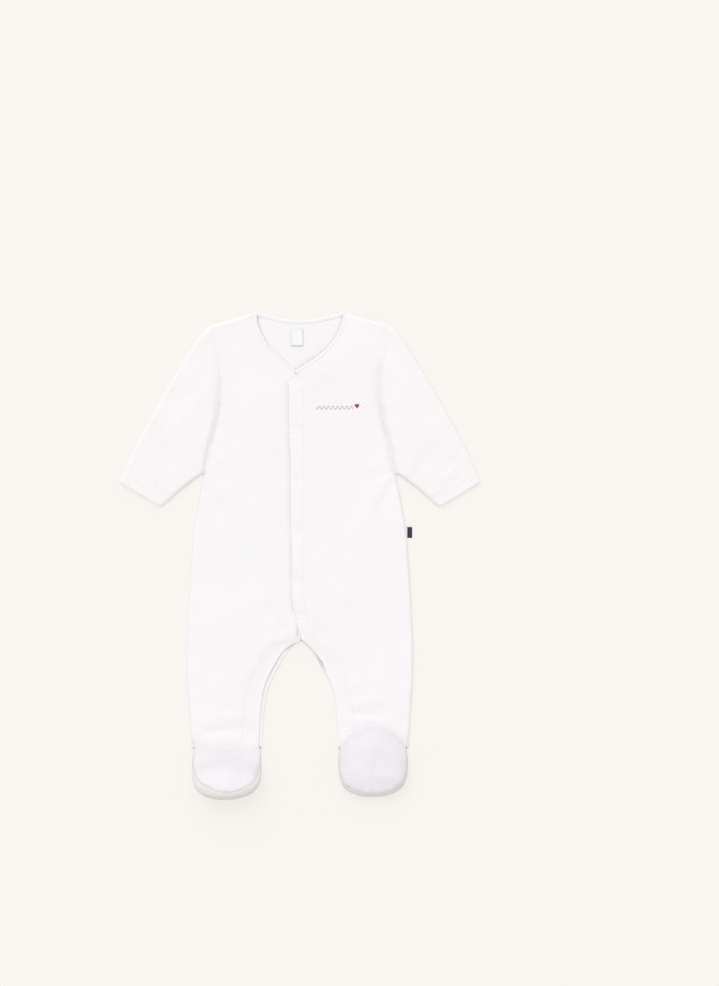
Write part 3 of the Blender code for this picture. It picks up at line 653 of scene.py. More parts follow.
# %% The pouch
FOOT_ROUND, RIBS, RIB_STEP = 0.77, 7, 11.0
foot_columns = "out down level seam top_down top_up bottom_down bottom_up bow".split()
foot_rows = {
    LEFT: [
        (0, 556.6, 8.5, 36, 528, 25.8, 530, 0, 1),
        (13, 555.7, 8.5, 36, 527, 25.9, 529, 0, 1),
        (25, 551.8, 8.4, 33, 524.5, 26.1, 526.5, 0, 1),
        (33.5, 546, 8.2, 28, 520.5, 26.4, 522.5, 0, 1.1),
        (38, 537.5, 7.8, 22, 515, 26.4, 518, 0, 1.2),
        (39.9, 526, 7, 14, 507, 25, 513.5, 0, 1.3),
        (40, 514, 5.2, 6, 495, 20, 508, 0, 1.6),
        (39.3, 500.3, 2.2, 0, 476.3, 6.5, 500.3, 0, 2),
    ],
    RIGHT: [
        (0, 557.6, 24.5, 76, 543.6, 40.4, 540, 3.6, 1),
        (13, 556.8, 24.3, 74, 542.6, 40, 539, 3.4, 1),
        (25, 553.4, 23.5, 67, 539.6, 38.8, 536, 2.7, 1),
        (33.5, 547.2, 21.8, 56, 535, 36.2, 532, 1.8, 1.1),
        (38, 539.4, 18.4, 40, 529.4, 32, 527.4, 0.9, 1.2),
        (39.5, 529.6, 13.2, 26, 523, 26, 522, 0.2, 1.3),
        (39.5, 517, 6.6, 6, 513, 15.5, 512, 0, 1.4),
        (38.9, 500.3, 2.2, 0, 503, 6.5, 500.3, 0, 2),
    ],
}
seam_lean = {LEFT: 0, RIGHT: 1.5}


def hoops(which, rib, turn):
    """Places on a pouch: rib 0 is the toe and 7 the ankle, turn 1 the top and -1 the bottom."""
    rows = np.array(foot_rows[which])
    key = {name: smooth(*enumerate(rows[:, i]))(np.abs(rib)) for i, name in enumerate(foot_columns)}
    lean = seam_lean[which] * rib * np.clip(1 - np.abs(rib) / 6, 0, 1)
    seam, high = np.radians(key["seam"] + lean), math.pi / 2
    angle = np.where(turn > 0, mix(seam, high, turn), mix(seam, -high, -turn))
    reach = np.maximum(np.cos(angle), 0) ** FOOT_ROUND
    lift = np.abs(np.sin(angle)) ** FOOT_ROUND
    end_down = np.where(angle > 0, key["top_down"], key["bottom_down"])
    end_up = np.where(angle > 0, key["top_up"], key["bottom_up"])
    out = np.sign(rib) * key["out"] * reach
    return out, mix(end_down, key["down"], reach ** key["bow"]), mix(key["level"], end_up, lift)


def ankle_of(which):
    """How far down a front reaches, to where its foot's upper begins, and how high that is."""
    out, down, up = hoops(which, np.full(25, float(RIBS)), np.linspace(1, 0, 25))
    around = [*(FOOT_OUT - out[::-1]), *(FOOT_OUT + out[1:])]
    return [straight(*zip(around, [*line[::-1], *line[1:]])) for line in (down, up)]


print("left ankle seam at its middle:", round(float(ankle_of(LEFT)[0](FOOT_OUT)), 1), "mm down")

# %% Uppers and soles
foot_folds = {
    LEFT: [
        (0, 500, 90, 40, 6, 0.9, 2), (-18, 508, 100, 34, 5, -0.8, 2), (17, 512, 78, 36, 5, -0.7, 2),
        (4, 530, 8, 56, 7, 0.8, 3), (-26, 530, 120, 30, 5, 0.6, 2), (28, 536, 60, 30, 5, 0.6, 2)],
    RIGHT: [
        (0, 522, 90, 36, 6, 0.9, 2), (-18, 526, 104, 34, 5, -0.9, 2), (18, 524, 76, 34, 5, -0.8, 2),
        (6, 548, 4, 56, 6, -0.7, 3), (-26, 540, 118, 28, 5, 0.6, 2), (27, 544, 62, 30, 5, 0.6, 2)],
}
# For each foot: where the hollow on its upper lies, how wide it is, and how much painted shade it gets.
foot_hollow = {LEFT: (505, 16, 0.14), RIGHT: (515, 7.5, 0.24)}


def along_rows(grid):
    """How far each point is along its column, from the first row."""
    steps = np.linalg.norm(np.diff(grid[..., :3], axis=0), axis=-1)
    return np.concatenate([np.zeros((1, grid.shape[1])), np.cumsum(steps, axis=0)])


def pushed_out(grid, far):
    """The grid moved along its own outward direction."""
    aim = np.cross(np.gradient(grid[..., :3], axis=0), np.gradient(grid[..., :3], axis=1))
    size = np.linalg.norm(aim, axis=-1, keepdims=True)
    moved = grid.copy()
    moved[..., :3] += aim / np.maximum(size, 1e-9) * far[..., None]
    return moved


def foot_grid(which, upper):
    """The upper runs from the top's middle line to the seam, the sole from the seam down."""
    ribs = stations(2 * RIBS, (0, 0.04, 0.09, 0.16, 0.25), (0, 0.04, 0.09, 0.16, 0.25), 110) - RIBS
    seam_side = (0.0, 0.008, 0.02, 0.04, 0.065, 0.095, 0.13, 0.17)
    if upper:
        turns = 1 - stations(1, (0.0, 0.012), seam_side, 34)[:, None]
    else:
        turns = -stations(1, seam_side, (0.0, 0.012), 34)[:, None]
    out, down, up = hoops(which, ribs, turns)
    grid = place(FOOT_OUT + out, down, up)
    length = along_rows(grid)
    from_seam = length[-1] - length if upper else length
    from_ankle = (RIBS - np.abs(ribs)) * RIB_STEP
    seed = (100 if upper else 120) + which
    soft = folds(foot_folds[which], out, down) if upper else 0.5 * uneven(out, down, 22, seed)
    soft = soft + relief(out, down + up, seed + 1, (0.5, 26), (0.25, 11))
    soft = soft * ease(from_seam / 7)
    soft += 0.45 * puckers(ribs * RIB_STEP, from_seam, 7.5, 9.0, 140 + which)
    fade = ease(length / 4) if upper else ease((length[-1] - length) / 4)
    soft = soft * fade * ease(from_ankle / 10) - 0.9 * (1 - sunk(from_seam, 4.5))
    soft = soft + gathers(which, FOOT_OUT + out, from_ankle)
    # Painted shade along the seam between upper and sole and above the ankle seam.
    grid[..., 3] = 0.25 * dip(from_seam, 1.6) + 0.16 * dip(from_ankle, 6)
    if upper:
        soft = soft + 0.25 * dip(from_seam - 6, 3)
        hollow_down, hollow_wide, hollow_painted_shade = foot_hollow[which]
        hollow = dip(down - hollow_down - 8 * (out / 31) ** 2, hollow_wide)
        # Painted shade in the hollow where the upper rises from the ankle.
        grid[..., 3] += hollow_painted_shade * hollow
        soft = soft - 0.7 * hollow * ease(from_ankle / 6)
    pushed = pushed_out(grid, soft)
    pushed[0 if upper else -1] = grid[0 if upper else -1]
    return pushed


SIDES = (("left", LEFT), ("right", RIGHT))
pieces = {}
for side_name, which in SIDES:
    for part, upper in (("upper", True), ("sole", False)):
        grid = on_side(foot_grid(which, upper), which)
        name = f"foot_{part}_{side_name}"
        finish = velour_foot if upper else velour_sole
        pieces[name] = cloth(name + "_cloth", [grid], finish, **SMALL_ROLL)

# %% Cut and sew the fronts
for side_name, which in SIDES:
    name = f"front_{side_name}"
    grid = on_side(front_grid(which, ankle_of(which)), which)
    pieces[name] = cloth(name + "_cloth", [grid], velour_body)

# %% [markdown]
# ## Back
# The back lies on the ground under everything. It shows inside the neck, as a rim beside
# the legs' inner edges, and from behind. One half is a grid from the centre line to the
# side; below the crotch the grid starts at the inner leg instead. The other half is its
# mirror image, and merging close points joins the two.

# %% Cut the back
BACK_UP, BACK_EDGE_IN = 1.75, 0.85
neck_lines = {which: smooth(*[(down, out) for out, down in line])
              for which, line in ((LEFT, neck_over), (RIGHT, neck_under))}


def back_half(which):
    legs_at = CROTCH + stations(HEEL - CROTCH, EDGE_INSETS, (0.0,), 46)[1:]
    rows_at = np.concatenate([np.linspace(shoulder_tip[1], CROTCH, 150), legs_at])[:, None]
    share = stations(1.0, (0.0, 0.01), (0.0, 0.004, 0.01, 0.018, 0.03), 42)[None, :]
    neck = smooth(*moved_aside(neck_back, -4.0))
    top = np.interp(share * shoulder_tip[0], *zip(shoulder_neck, shoulder_tip))
    neck_reach = neck_back[-1][0] - 1.0
    at_neck = share * shoulder_tip[0] < neck_reach
    top = np.where(at_neck, neck(share * shoulder_tip[0]), top) + BACK_EDGE_IN
    flat = ease((rows_at - shoulder_tip[1]) / 60)
    down = mix(top + rows_at - shoulder_tip[1], rows_at, flat)
    far = np.where(rows_at <= armpit[1], armhole(rows_at), side(rows_at)) - BACK_EDGE_IN
    near = np.where(rows_at > CROTCH, inner_leg(down) + BACK_EDGE_IN, 0.0)
    out = mix(near, far, share)
    from_leg = np.where(rows_at > CROTCH, out - near, 99.0)
    up = BACK_UP + 0.12 * uneven(out, down, 30, 200)
    up += 0.9 * dip(from_leg, 5) * ease((down - CROTCH) / 20)
    # Painted shade on the back: a faint line beside the right leg's inner edge, a darker patch where the
    # left front's edge gapes over the left thigh, and a line inside each neck edge, darkest near the
    # shoulders.
    shaded = 0.15 * dip(from_leg - 2, 3)
    if which == LEFT:
        shaded = dip(down - 403, 10) * dip(from_leg - 2, 4)
    from_neck = neck_lines[which](down) - out
    inside = (from_neck > -3) * ease((74 - down) / 8)
    shaded = shaded + inside * mix(0.12, 0.34, ease((40 - down) / 30)) * dip(from_neck - 0.8, 2.0)
    return place(out, down, up, shaded)


back = [on_side(back_half(which), which) for which in (LEFT, RIGHT)]
pieces["back_panel"] = cloth("back_panel_cloth", back, velour_body, under=3.5)

# %% [markdown]
# ## Sleeves
# A sleeve is one tube, pressed flat. Its rings run along it from the armhole to the cuff.
# Each ring goes over the top of the sleeve and back beneath it, round two soft edges: the
# fold at the shoulder side and the seam at the under side. Near the armhole the rings
# bend with the armhole's curve.

# %% Shape of a sleeve
SLEEVE_UP, SLEEVE_EDGE_UP, CUFF_UP = 6.6, 2.4, 5.1
sleeve_top = [
    (0, 101.3, 15.9), (0.06, 107.6, 19), (0.15, 117, 30.6), (0.28, 129.4, 49), (0.42, 143.3, 72),
    (0.57, 158, 96.4), (0.72, 173, 123.6), (0.86, 188.4, 152.8), (0.95, 200, 177.4), (1, 207.6, 194.6)]
sleeve_under = [
    (0, 110.2, 187.2), (0.06, 111.6, 187.4), (0.15, 116.4, 190), (0.28, 122.6, 194.4),
    (0.42, 129.6, 199.8), (0.57, 137, 205.6), (0.72, 144.4, 211.8), (0.86, 151.4, 218),
    (0.95, 156, 222), (1, 158.6, 224)]
sleeve_folds = {
    LEFT: [
        (126, 120, 62, 90, 10, 0.9, 5), (150, 168, 128, 70, 9, -0.4, 4), (118, 150, 84, 64, 8, 0.7, 4),
        (128, 176, 120, 60, 6, 0.7, 5), (148, 140, 56, 80, 9, 0.3, -4), (118, 84, 70, 60, 8, 0.5, 3),
        (168, 190, 140, 52, 5, 0.6, 3), (180, 168, 132, 46, 5, -0.5, 3),
        (160, 204, 150, 40, 4, 0.4, 2)],
    RIGHT: [
        (122, 112, 64, 84, 10, 0.9, -5), (154, 160, 124, 74, 8, -0.8, -4),
        (116, 156, 82, 60, 8, 0.7, -4), (130, 182, 126, 56, 6, 0.7, 4), (142, 128, 58, 84, 7, 0.5, 5),
        (120, 74, 66, 56, 8, 0.5, -3), (172, 184, 138, 50, 5, 0.6, -3),
        (186, 174, 130, 44, 5, -0.5, -3), (158, 200, 148, 44, 4, 0.4, 3)],
}


def sleeve_grid(which):
    top = [smooth(*[(row[0], row[i]) for row in sleeve_top]) for i in (1, 2)]
    under = [smooth(*[(row[0], row[i]) for row in sleeve_under]) for i in (1, 2)]
    share = stations(1.0, np.array(EDGE_INSETS) / 150, np.array(EDGE_INSETS[:6]) / 150, 104)[:, None]
    start_out, start_down = top[0](share), top[1](share)
    end_out, end_down = under[0](share), under[1](share)
    width = np.hypot(end_out - start_out, end_down - start_down)
    inset = stations(width[:, 0], EDGE_INSETS, EDGE_INSETS, 56)
    seed = 140 if which == LEFT else 170

    def sheet(q, over):
        chord = mix(shoulder_tip[0], armpit[0], q)
        seam = armhole(mix(shoulder_tip[1], armpit[1], q))
        out = mix(start_out, end_out, q) + (seam - chord) * (1 - share) ** 4
        down = mix(start_down, end_down, q)
        from_side = np.minimum(q, 1 - q) * width
        if not over:
            return place(out, down, SLEEVE_EDGE_UP * (1 - rounded(from_side, SLEEVE_EDGE_UP)))
        from_arm, from_cuff = share * mix(208, 61, q), (1 - share) * mix(208, 61, q)
        soft = folds(sleeve_folds[which], out, down)
        soft += relief(out, down, seed, (0.45, 46), (0.2, 19), (0.07, 8))
        soft += 0.45 * puckers(down, from_arm, 9, 12, seed + 3)
        soft += 0.3 * puckers(share * 200, from_side, 12, 9, seed + 5)
        up = mix(SLEEVE_UP, CUFF_UP, dip(from_cuff, 30)) + soft
        up -= 0.17 * dip(from_cuff - CUFF_HEM, 1.1)
        seam_down = mix(shoulder_tip[1], armpit[1], q)
        up -= arm_seam_deep(seam_down) * dip(from_arm, 5.2)
        up = mix(SLEEVE_EDGE_UP, up, rounded(from_side, 6.5))
        # Painted shade in the valley beside the armhole seam.
        return place(out, down, up, 0.1 * arm_seam_deep(seam_down) * dip(from_arm, 5.2))

    q = inset / width
    over, beneath = sheet(q, True), sheet(q, False)
    ring = np.concatenate([over, beneath[:, -2:0:-1]], axis=1)
    return ring[:, ::-1]


for side_name, which in SIDES:
    name = f"sleeve_{side_name}"
    grid = on_side(sleeve_grid(which), which)
    pieces[name] = cloth(name + "_cloth", [grid], velour_body, loop=True, **SMALL_ROLL)

# %% [markdown]
# ## Neck binding
# A narrow strip of the same velour is folded over the raw neck edge and stitched down. It
# is a soft bar swept along the neckline: its section is a rounded rectangle, and it swells
# and narrows slightly along its run.

# %% Sweep the binding
BIND_WIDTH, BIND_THICK = 5.0, 2.4
over_up = straight((0, 3.5), (6, 3.6), (25, 4.2), (50, 5.2), (66, 6.1))
under_up = straight((0, 3.5), (6, 3.6), (25, 3.6), (50, 3.5), (66, 3.1))
binding_corner = [(51.8, 5.2, 3.5), (50, 2.4, 3), (45.5, 4.2, 1.5)]


def binding_places():
    over = moved_aside(neck_over, BIND_WIDTH / 2)
    under = moved_aside(neck_under, BIND_WIDTH / 2)
    back = moved_aside(neck_back, -BIND_WIDTH / 2)
    path = [(o, d, over_up(d)) for o, d in over[:0:-1]] + binding_corner
    path += [(o, d, BIND_THICK / 2) for o, d in back[-2::-1]]
    path += [(-o, d, BIND_THICK / 2) for o, d in back[1:-1]]
    path += [(-o, d, u) for o, d, u in binding_corner[::-1]]
    return np.array(path + [(-o, d, under_up(d)) for o, d in under[1:]], float)


def even_run(points, step):
    """A smooth line through the points, with its places one step apart."""
    far = np.concatenate([[0], np.cumsum(np.linalg.norm(np.diff(points, axis=0), axis=1))])
    fine = np.linspace(0, far[-1], 2000)
    line = np.stack([smooth(*zip(far, points[:, i]))(fine) for i in range(points.shape[1])], axis=1)
    run = np.concatenate([[0], np.cumsum(np.linalg.norm(np.diff(line, axis=0), axis=1))])
    want = np.linspace(0, run[-1], max(2, round(run[-1] / step) + 1))
    return np.stack([np.interp(want, run, line[:, i]) for i in range(points.shape[1])], axis=1), want


def swept(line, run, width, thick, sides=22, full=0.75):
    """A rounded bar along a line of (out, down, up), with its ends drawn in."""
    ahead = np.gradient(line[:, :2], axis=0)
    ahead /= np.linalg.norm(ahead, axis=1, keepdims=True)
    aside = np.stack([ahead[:, 1], -ahead[:, 0]], axis=1)
    angle = np.linspace(0, 2 * math.pi, sides, endpoint=False)
    across = np.sign(np.cos(angle)) * np.abs(np.cos(angle)) ** full / 2
    lift = np.sign(np.sin(angle)) * np.abs(np.sin(angle)) ** full / 2
    tail = np.minimum(run, run[-1] - run)[:, None]
    close = rounded(tail, 1.2)
    wide = width * (1 + 0.05 * uneven(run, 0, 9, 210))[:, None] * close
    high = thick * (1 + 0.07 * uneven(run, 9, 6, 211))[:, None] * close
    up = line[:, 2:3] + lift * high
    up += 0.12 * puckers(run[:, None], np.abs(across + 0.5) * width, 4, 3.5, 212) * (lift > 0) * close
    out, down = (line[:, i:i + 1] + across * wide * aside[:, i:i + 1] for i in (0, 1))
    return place(out, down, up)


binding_line, binding_run = even_run(binding_places(), 1.1)
binding_grid = swept(binding_line, binding_run, BIND_WIDTH, BIND_THICK)
pieces["neck_binding"] = cloth("neck_binding_cloth", [binding_grid], velour_body, loop=True, roll=0,
                               thick=0)
print("binding:", round(binding_run[-1]), "mm long")

# %% [markdown]
# ## Nodes that repeat small things
# Snap caps, stitches and embroidery threads are the same small thing many times over, so
# Geometry Nodes set them out. Three short trees are enough: one puts a cap on each point,
# one puts a stitch on every step of a line, and one turns lines into round threads. The
# points and lines themselves are first laid on the cloth by looking straight down on it,
# and each point remembers which way the cloth faces there.

# %% Trees with named inputs
class Tree(Nodes):
    """A Geometry Nodes tree whose sizes are named inputs."""

    def __init__(self, name, **inputs):
        self.tree = bpy.data.node_groups.new(name, "GeometryNodeTree")
        sockets = self.tree.interface
        sockets.new_socket("Geometry", in_out="INPUT", socket_type="NodeSocketGeometry")
        self.keys = {}
        for key, kind in {**inputs, "Material": "Material"}.items():
            made = sockets.new_socket(key, in_out="INPUT", socket_type="NodeSocket" + kind)
            self.keys[key] = made.identifier
        sockets.new_socket("Geometry", in_out="OUTPUT", socket_type="NodeSocketGeometry")
        self.given = self.tree.nodes.new("NodeGroupInput").outputs
        self.out = self.tree.nodes.new("NodeGroupOutput")

    def give(self, kind, settings=None, sockets=None, output=0):
        return self.node(kind, settings, sockets).outputs[output]

    def facing(self):
        kind = {"data_type": "FLOAT_VECTOR"}
        return self.give("GeometryNodeInputNamedAttribute", kind, {"Name": "facing"})

    def turned(self, axis, towards, before=None, pivot="AUTO"):
        sockets = {"Vector": towards, **({"Rotation": before} if before else {})}
        turn = {"axis": axis, "pivot_axis": pivot}
        return self.give("FunctionNodeAlignRotationToVector", turn, sockets)

    def product(self, a, b):
        return self.give("ShaderNodeMath", {"operation": "MULTIPLY"}, {0: a, 1: b})

    def close(self, geometry):
        whole = self.give("GeometryNodeRealizeInstances", {}, {"Geometry": geometry})
        finish = self.given["Material"]
        painted = self.give("GeometryNodeSetMaterial", {}, {"Geometry": whole, "Material": finish})
        self.put(self.out.inputs["Geometry"], painted)

    def run(self, name, mesh, **values):
        """The tree's result on a mesh of points or lines, as a plain mesh object."""
        made = in_scene(name, mesh)
        modifier = made.modifiers.new("Nodes", "NODES")
        modifier.node_group = self.tree
        for key, value in values.items():
            modifier[self.keys[key]] = value
        keep_result(made)
        print(f"{name}: {len(made.data.polygons)} faces")
        return made


caps_tree = Tree("caps", Cap="Object")
cap_shape = caps_tree.give("GeometryNodeObjectInfo", {"transform_space": "ORIGINAL"},
                           {"Object": caps_tree.given["Cap"]}, output="Geometry")
caps_tree.close(caps_tree.give("GeometryNodeInstanceOnPoints", {}, {
    "Points": caps_tree.given["Geometry"], "Instance": cap_shape,
    "Rotation": caps_tree.turned("Z", caps_tree.facing())}))

stitch_tree = Tree("stitches", Pitch="Float", Length="Float", Width="Float", Seed="Int")
line = stitch_tree.give("GeometryNodeMeshToCurve", {}, {"Mesh": stitch_tree.given["Geometry"]})
steps = stitch_tree.give("GeometryNodeResampleCurve", {"mode": "LENGTH"},
                         {"Curve": line, "Length": stitch_tree.given["Pitch"]})
bead = stitch_tree.give("GeometryNodeMeshUVSphere", {}, {"Segments": 6, "Rings": 5, "Radius": 0.5})
LAID = (0.0, math.pi / 2, 0.0)
bead = stitch_tree.give("GeometryNodeTransform", {}, {"Geometry": bead, "Rotation": LAID})
vary = stitch_tree.give("FunctionNodeRandomValue", {"data_type": "FLOAT"},
                        {2: 0.88, 3: 1.1, "Seed": stitch_tree.given["Seed"]}, output=1)
long, wide = stitch_tree.given["Length"], stitch_tree.given["Width"]
scale = stitch_tree.give("ShaderNodeCombineXYZ", {}, {
    0: stitch_tree.product(vary, long), 1: wide, 2: stitch_tree.product(0.6, wide)})
along = stitch_tree.turned("X", stitch_tree.give("GeometryNodeInputTangent"))
stitch_tree.close(stitch_tree.give("GeometryNodeInstanceOnPoints", {}, {
    "Points": steps, "Instance": bead, "Scale": scale,
    "Rotation": stitch_tree.turned("Z", stitch_tree.facing(), along, "X")}))

thread_tree = Tree("threads", Radius="Float")
line = thread_tree.give("GeometryNodeMeshToCurve", {}, {"Mesh": thread_tree.given["Geometry"]})
ring = thread_tree.give("GeometryNodeCurvePrimitiveCircle", {"mode": "RADIUS"},
                        {"Resolution": 6, "Radius": thread_tree.given["Radius"]})
thread_tree.close(thread_tree.give("GeometryNodeCurveToMesh", {}, {
    "Curve": line, "Profile Curve": ring, "Fill Caps": True}))


# %% Places on the cloth
def lie_on(piece, places, lift=0.0):
    """Where (out, down) places in millimetres meet a piece from above, and how it faces."""
    spots, facings = [], []
    for out, down in places:
        above = Vector((out * MM, (TOP - down) * MM, 0.2))
        hit, spot, facing, _ = piece.ray_cast(above, Vector((0, 0, -1)))
        if hit:
            spots.append(spot + Vector((0, 0, lift * MM)))
            facings.append(facing)
    return spots, facings


def lines_mesh(name, lines, joined=True):
    """Points, each with its facing, joined line by line or left loose."""
    spots = [spot for line in lines for spot in line[0]]
    links, first = [], 0
    for line in lines:
        links += [(first + i, first + i + 1) for i in range(len(line[0]) - 1)] if joined else []
        first += len(line[0])
    mesh = bpy.data.meshes.new(name)
    mesh.from_pydata(spots, links, [])
    facing = mesh.attributes.new("facing", "FLOAT_VECTOR", "POINT")
    facing.data.foreach_set("vector", [part for line in lines for aim in line[1] for part in aim])
    return mesh


def sewn(name, lines, finish, pitch=2.6, length=2.1, width=0.42, seed=1):
    return stitch_tree.run(name, lines_mesh(name, lines), Pitch=pitch * MM, Length=length * MM,
                           Width=width * MM, Seed=seed, Material=finish)


bpy.context.view_layer.update()
first_snap = lie_on(pieces["front_left"], front_snap_places[:1])[0][0]
print("cloth under the first snap is", round(first_snap.z / MM, 1), "mm up")

# %% [markdown]
# ## Snaps
# Six white caps close the front and two sit on each inner leg. A cap is turned like a
# small dish on a lathe: its outline is a few points, and Spin carries them round. It is
# nearly as white as the cloth and sits deep in the pile, so only its rim shows.

# %% Turn a cap and set ten
CAP_OUTLINE = [
    (0, 0.34), (1.3, 0.35), (2, 0.44), (2.6, 0.62), (3.1, 0.66), (3.6, 0.56), (4, 0.3), (4.15, 0),
    (4.15, -0.7), (0, -0.7)]


def turned_cap():
    build = bmesh.new()
    points = [build.verts.new((r * MM, 0, z * MM)) for r, z in CAP_OUTLINE]
    edges = [build.edges.new(pair) for pair in zip(points, points[1:])]
    bmesh.ops.spin(build, geom=points + edges, cent=(0, 0, 0), axis=(0, 0, 1), angle=math.tau, steps=36,
                   use_merge=True)
    bmesh.ops.remove_doubles(build, verts=build.verts, dist=0.001 * MM)
    bmesh.ops.recalc_face_normals(build, faces=build.faces)
    return bpy.data.objects.new("cap", mesh_from(build, "cap"))


cap_finish = Shader("snap_cap", Specular_IOR_Level=0.4)
milky = cap_finish.noise(cap_finish.where(), 300.0)
cap_finish.set(Base_Color=cap_finish.colour(tint(0.845, 0.832, 0.84), tint(0.81, 0.80, 0.81), milky),
               Roughness=0.42 + milky * 0.16)
cap_finish.bump(milky, 0.15, 0.0002)

cap = turned_cap()
leg_places = [(float(inner_leg(down)) + inset, down) for down, inset in leg_snap_places]
cap_lines = [lie_on(pieces["front_left"], front_snap_places + leg_places, -0.12),
             lie_on(pieces["front_right"], [(-out, down) for out, down in leg_places], -0.12)]
cap_spots = lines_mesh("snap_caps", cap_lines, joined=False)
pieces["snap_caps"] = caps_tree.run("snap_caps", cap_spots, Cap=cap, Material=cap_finish.material)
bpy.data.objects.remove(cap)

# %% [markdown]
# ## Label and tab
# The neck label is a plain woven strip, sewn flat inside the back neck, with its lower
# corners a little lifted. The side tab is a short dark strip folded in half and caught in
# the side seam. Both are woven, so their finish is a fine basket of two crossed waves.
# Nothing is written on either of them.

# %% Woven tape
def woven(name, colour, rough, pitch=0.4):
    made = Shader(name, Sheen_Weight=0.1, Specular_IOR_Level=0.25)
    spot = made.where()
    waves = {"Vector": spot, "Scale": math.tau / (20 * pitch * MM), "Distortion": 0.3}
    bands = [made.value("ShaderNodeTexWave", {"bands_direction": way}, waves, output=1) for way in "XY"]
    basket, cloudy = bands[0] * bands[1], made.noise(spot, 200.0)
    made.set(Base_Color=made.colour(darker(colour, 0.9), colour, basket * 0.6 + cloudy * 0.4),
             Roughness=rough + basket * 0.15)
    made.bump(basket, 0.35, 0.00012)
    return made.material


white_tape = woven("white_tape", tint(0.91, 0.90, 0.905), 0.55)
navy_tape = woven("navy_tape", tint(0.030, 0.031, 0.042), 0.6, 0.5)

# %% Neck label
label_low, label_high = (np.array(corner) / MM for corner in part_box("neck_label"))
label_out = np.linspace(label_low[0], label_high[0], 15)[None, :]
label_down = TOP - np.linspace(label_high[1], label_low[1], 21)[:, None]
LABEL_LONG, LABEL_HALF, CORNER_UP = 19.5, 6.8, 0.7
fallen = (label_down - label_down[0]) / LABEL_LONG
from_middle = np.abs(label_out - label_out.mean()) / LABEL_HALF
label_up = label_high[2] + 0.15 + CORNER_UP * fallen**3 * from_middle
label_up = label_up + 0.12 * uneven(label_out, label_down, 6, 230)
label_grid = place(label_out, label_down, label_up)
pieces["neck_label"] = cloth("neck_label_cloth", [label_grid], white_tape, roll=0, thick=0.4)

# %% Side tab
tab_low, tab_high = (np.array(corner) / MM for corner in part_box("side_tab"))
FOLD = (tab_high[2] - tab_low[2]) / 2
turn = np.linspace(0, math.pi, 9)
flat_out = np.linspace(tab_low[0], tab_high[0] - FOLD, 8)
tab_out = np.concatenate([flat_out, flat_out[-1] + FOLD * np.sin(turn[1:-1]), flat_out[::-1]])[None, :]
tab_up = np.concatenate([np.full(8, 1.0), np.cos(turn[1:-1]), np.full(8, -1.0)])[None, :]
tab_down = TOP - np.linspace(tab_high[1], tab_low[1], 14)[:, None]
tab_middle = (tab_low[2] + tab_high[2]) / 2 + 0.12 * uneven(tab_out, tab_down, 5, 240)
tab_grid = place(tab_out + 0.15 * uneven(0, tab_down, 4, 241), tab_down, tab_middle + FOLD * tab_up)
pieces["side_tab"] = cloth("side_tab_cloth", [tab_grid], navy_tape, roll=0, thick=0.35)

# %% [markdown]
# ## Stitches and embroidery
# White stitches hold the placket, the binding, the cuffs and the leg bands, and pale grey
# ones the label. On the chest is a small running line in grey thread, a plain wave, with a
# red heart in satin stitch at its end: nine round threads side by side, each arched a
# little over the cloth.

# %% Sew the seams
def down_the_front(start, end, out_at, step=2.0):
    downs = np.arange(start, end, step)
    return list(zip(out_at(downs), downs))


left, right = pieces["front_left"], pieces["front_right"]
placket_line = down_the_front(86.0, 360.0, placket_stitched)
leg_lines = {which: down_the_front(398.0, 496.0, lambda down: free_edge(which)(down) + ROLL + LEG_HEM)
             for which in (LEFT, RIGHT)}
pieces["seam_stitches"] = sewn("seam_stitches", [
    lie_on(left, placket_line), lie_on(left, leg_lines[LEFT]),
    lie_on(right, [(-out, down) for out, down in leg_lines[RIGHT]])], white_thread, seed=3)

cuffs = []
start, end = np.array(sleeve_top[-1][1:]), np.array(sleeve_under[-1][1:])
inwards = np.array(sleeve_top[-2][1:]) - start
inwards *= CUFF_HEM / np.linalg.norm(inwards)
spots = [mix(start, end, t) + inwards for t in np.linspace(0.04, 0.96, 30)]
for side_name, which in SIDES:
    places = [(which * out, down) for out, down in spots]
    cuffs.append(lie_on(pieces[f"sleeve_{side_name}"], places))
pieces["cuff_stitches"] = sewn("cuff_stitches", cuffs, white_thread, seed=4)

binding_stitch = [tuple(point) for point in binding_line[2:-2, :2]]
pieces["neck_stitches"] = sewn("neck_stitches", [lie_on(pieces["neck_binding"], binding_stitch)],
                               white_thread, seed=5)
corners = [(label_low[0] + 1, label_down[0, 0] + 1), (label_low[0] + 1, label_down[-1, 0] - 1),
           (label_high[0] - 1, label_down[-1, 0] - 1), (label_high[0] - 1, label_down[0, 0] + 1)]
frame_line = [mix(np.array(a), np.array(b), t) for a, b in zip(corners, corners[1:] + corners[:1])
              for t in np.linspace(0, 0.95, 12)]
pieces["label_stitches"] = sewn("label_stitches", [lie_on(pieces["neck_label"], frame_line)],
                                pale_thread, pitch=1.5, length=1.1, width=0.3, seed=6)

# %% Embroider the chest
WAVE_FROM, WAVE_TO, WAVE_DOWN, WAVE_HIGH = 18.4, 60.5, 110.6, 1.9
HEART_OUT, HEART_DOWN, HEART_HALF, SATIN = 65.4, 108.7, 2.5, 0.34
wave_out = np.linspace(WAVE_FROM, WAVE_TO, 150)
wave_down = WAVE_DOWN + WAVE_HIGH * np.sin((wave_out - WAVE_FROM) * math.tau / 5.2)
pieces["chest_wave"] = sewn("chest_wave", [lie_on(left, zip(wave_out, wave_down), 0.1)], grey_thread,
                            pitch=1.5, length=1.7, width=0.75, seed=7)

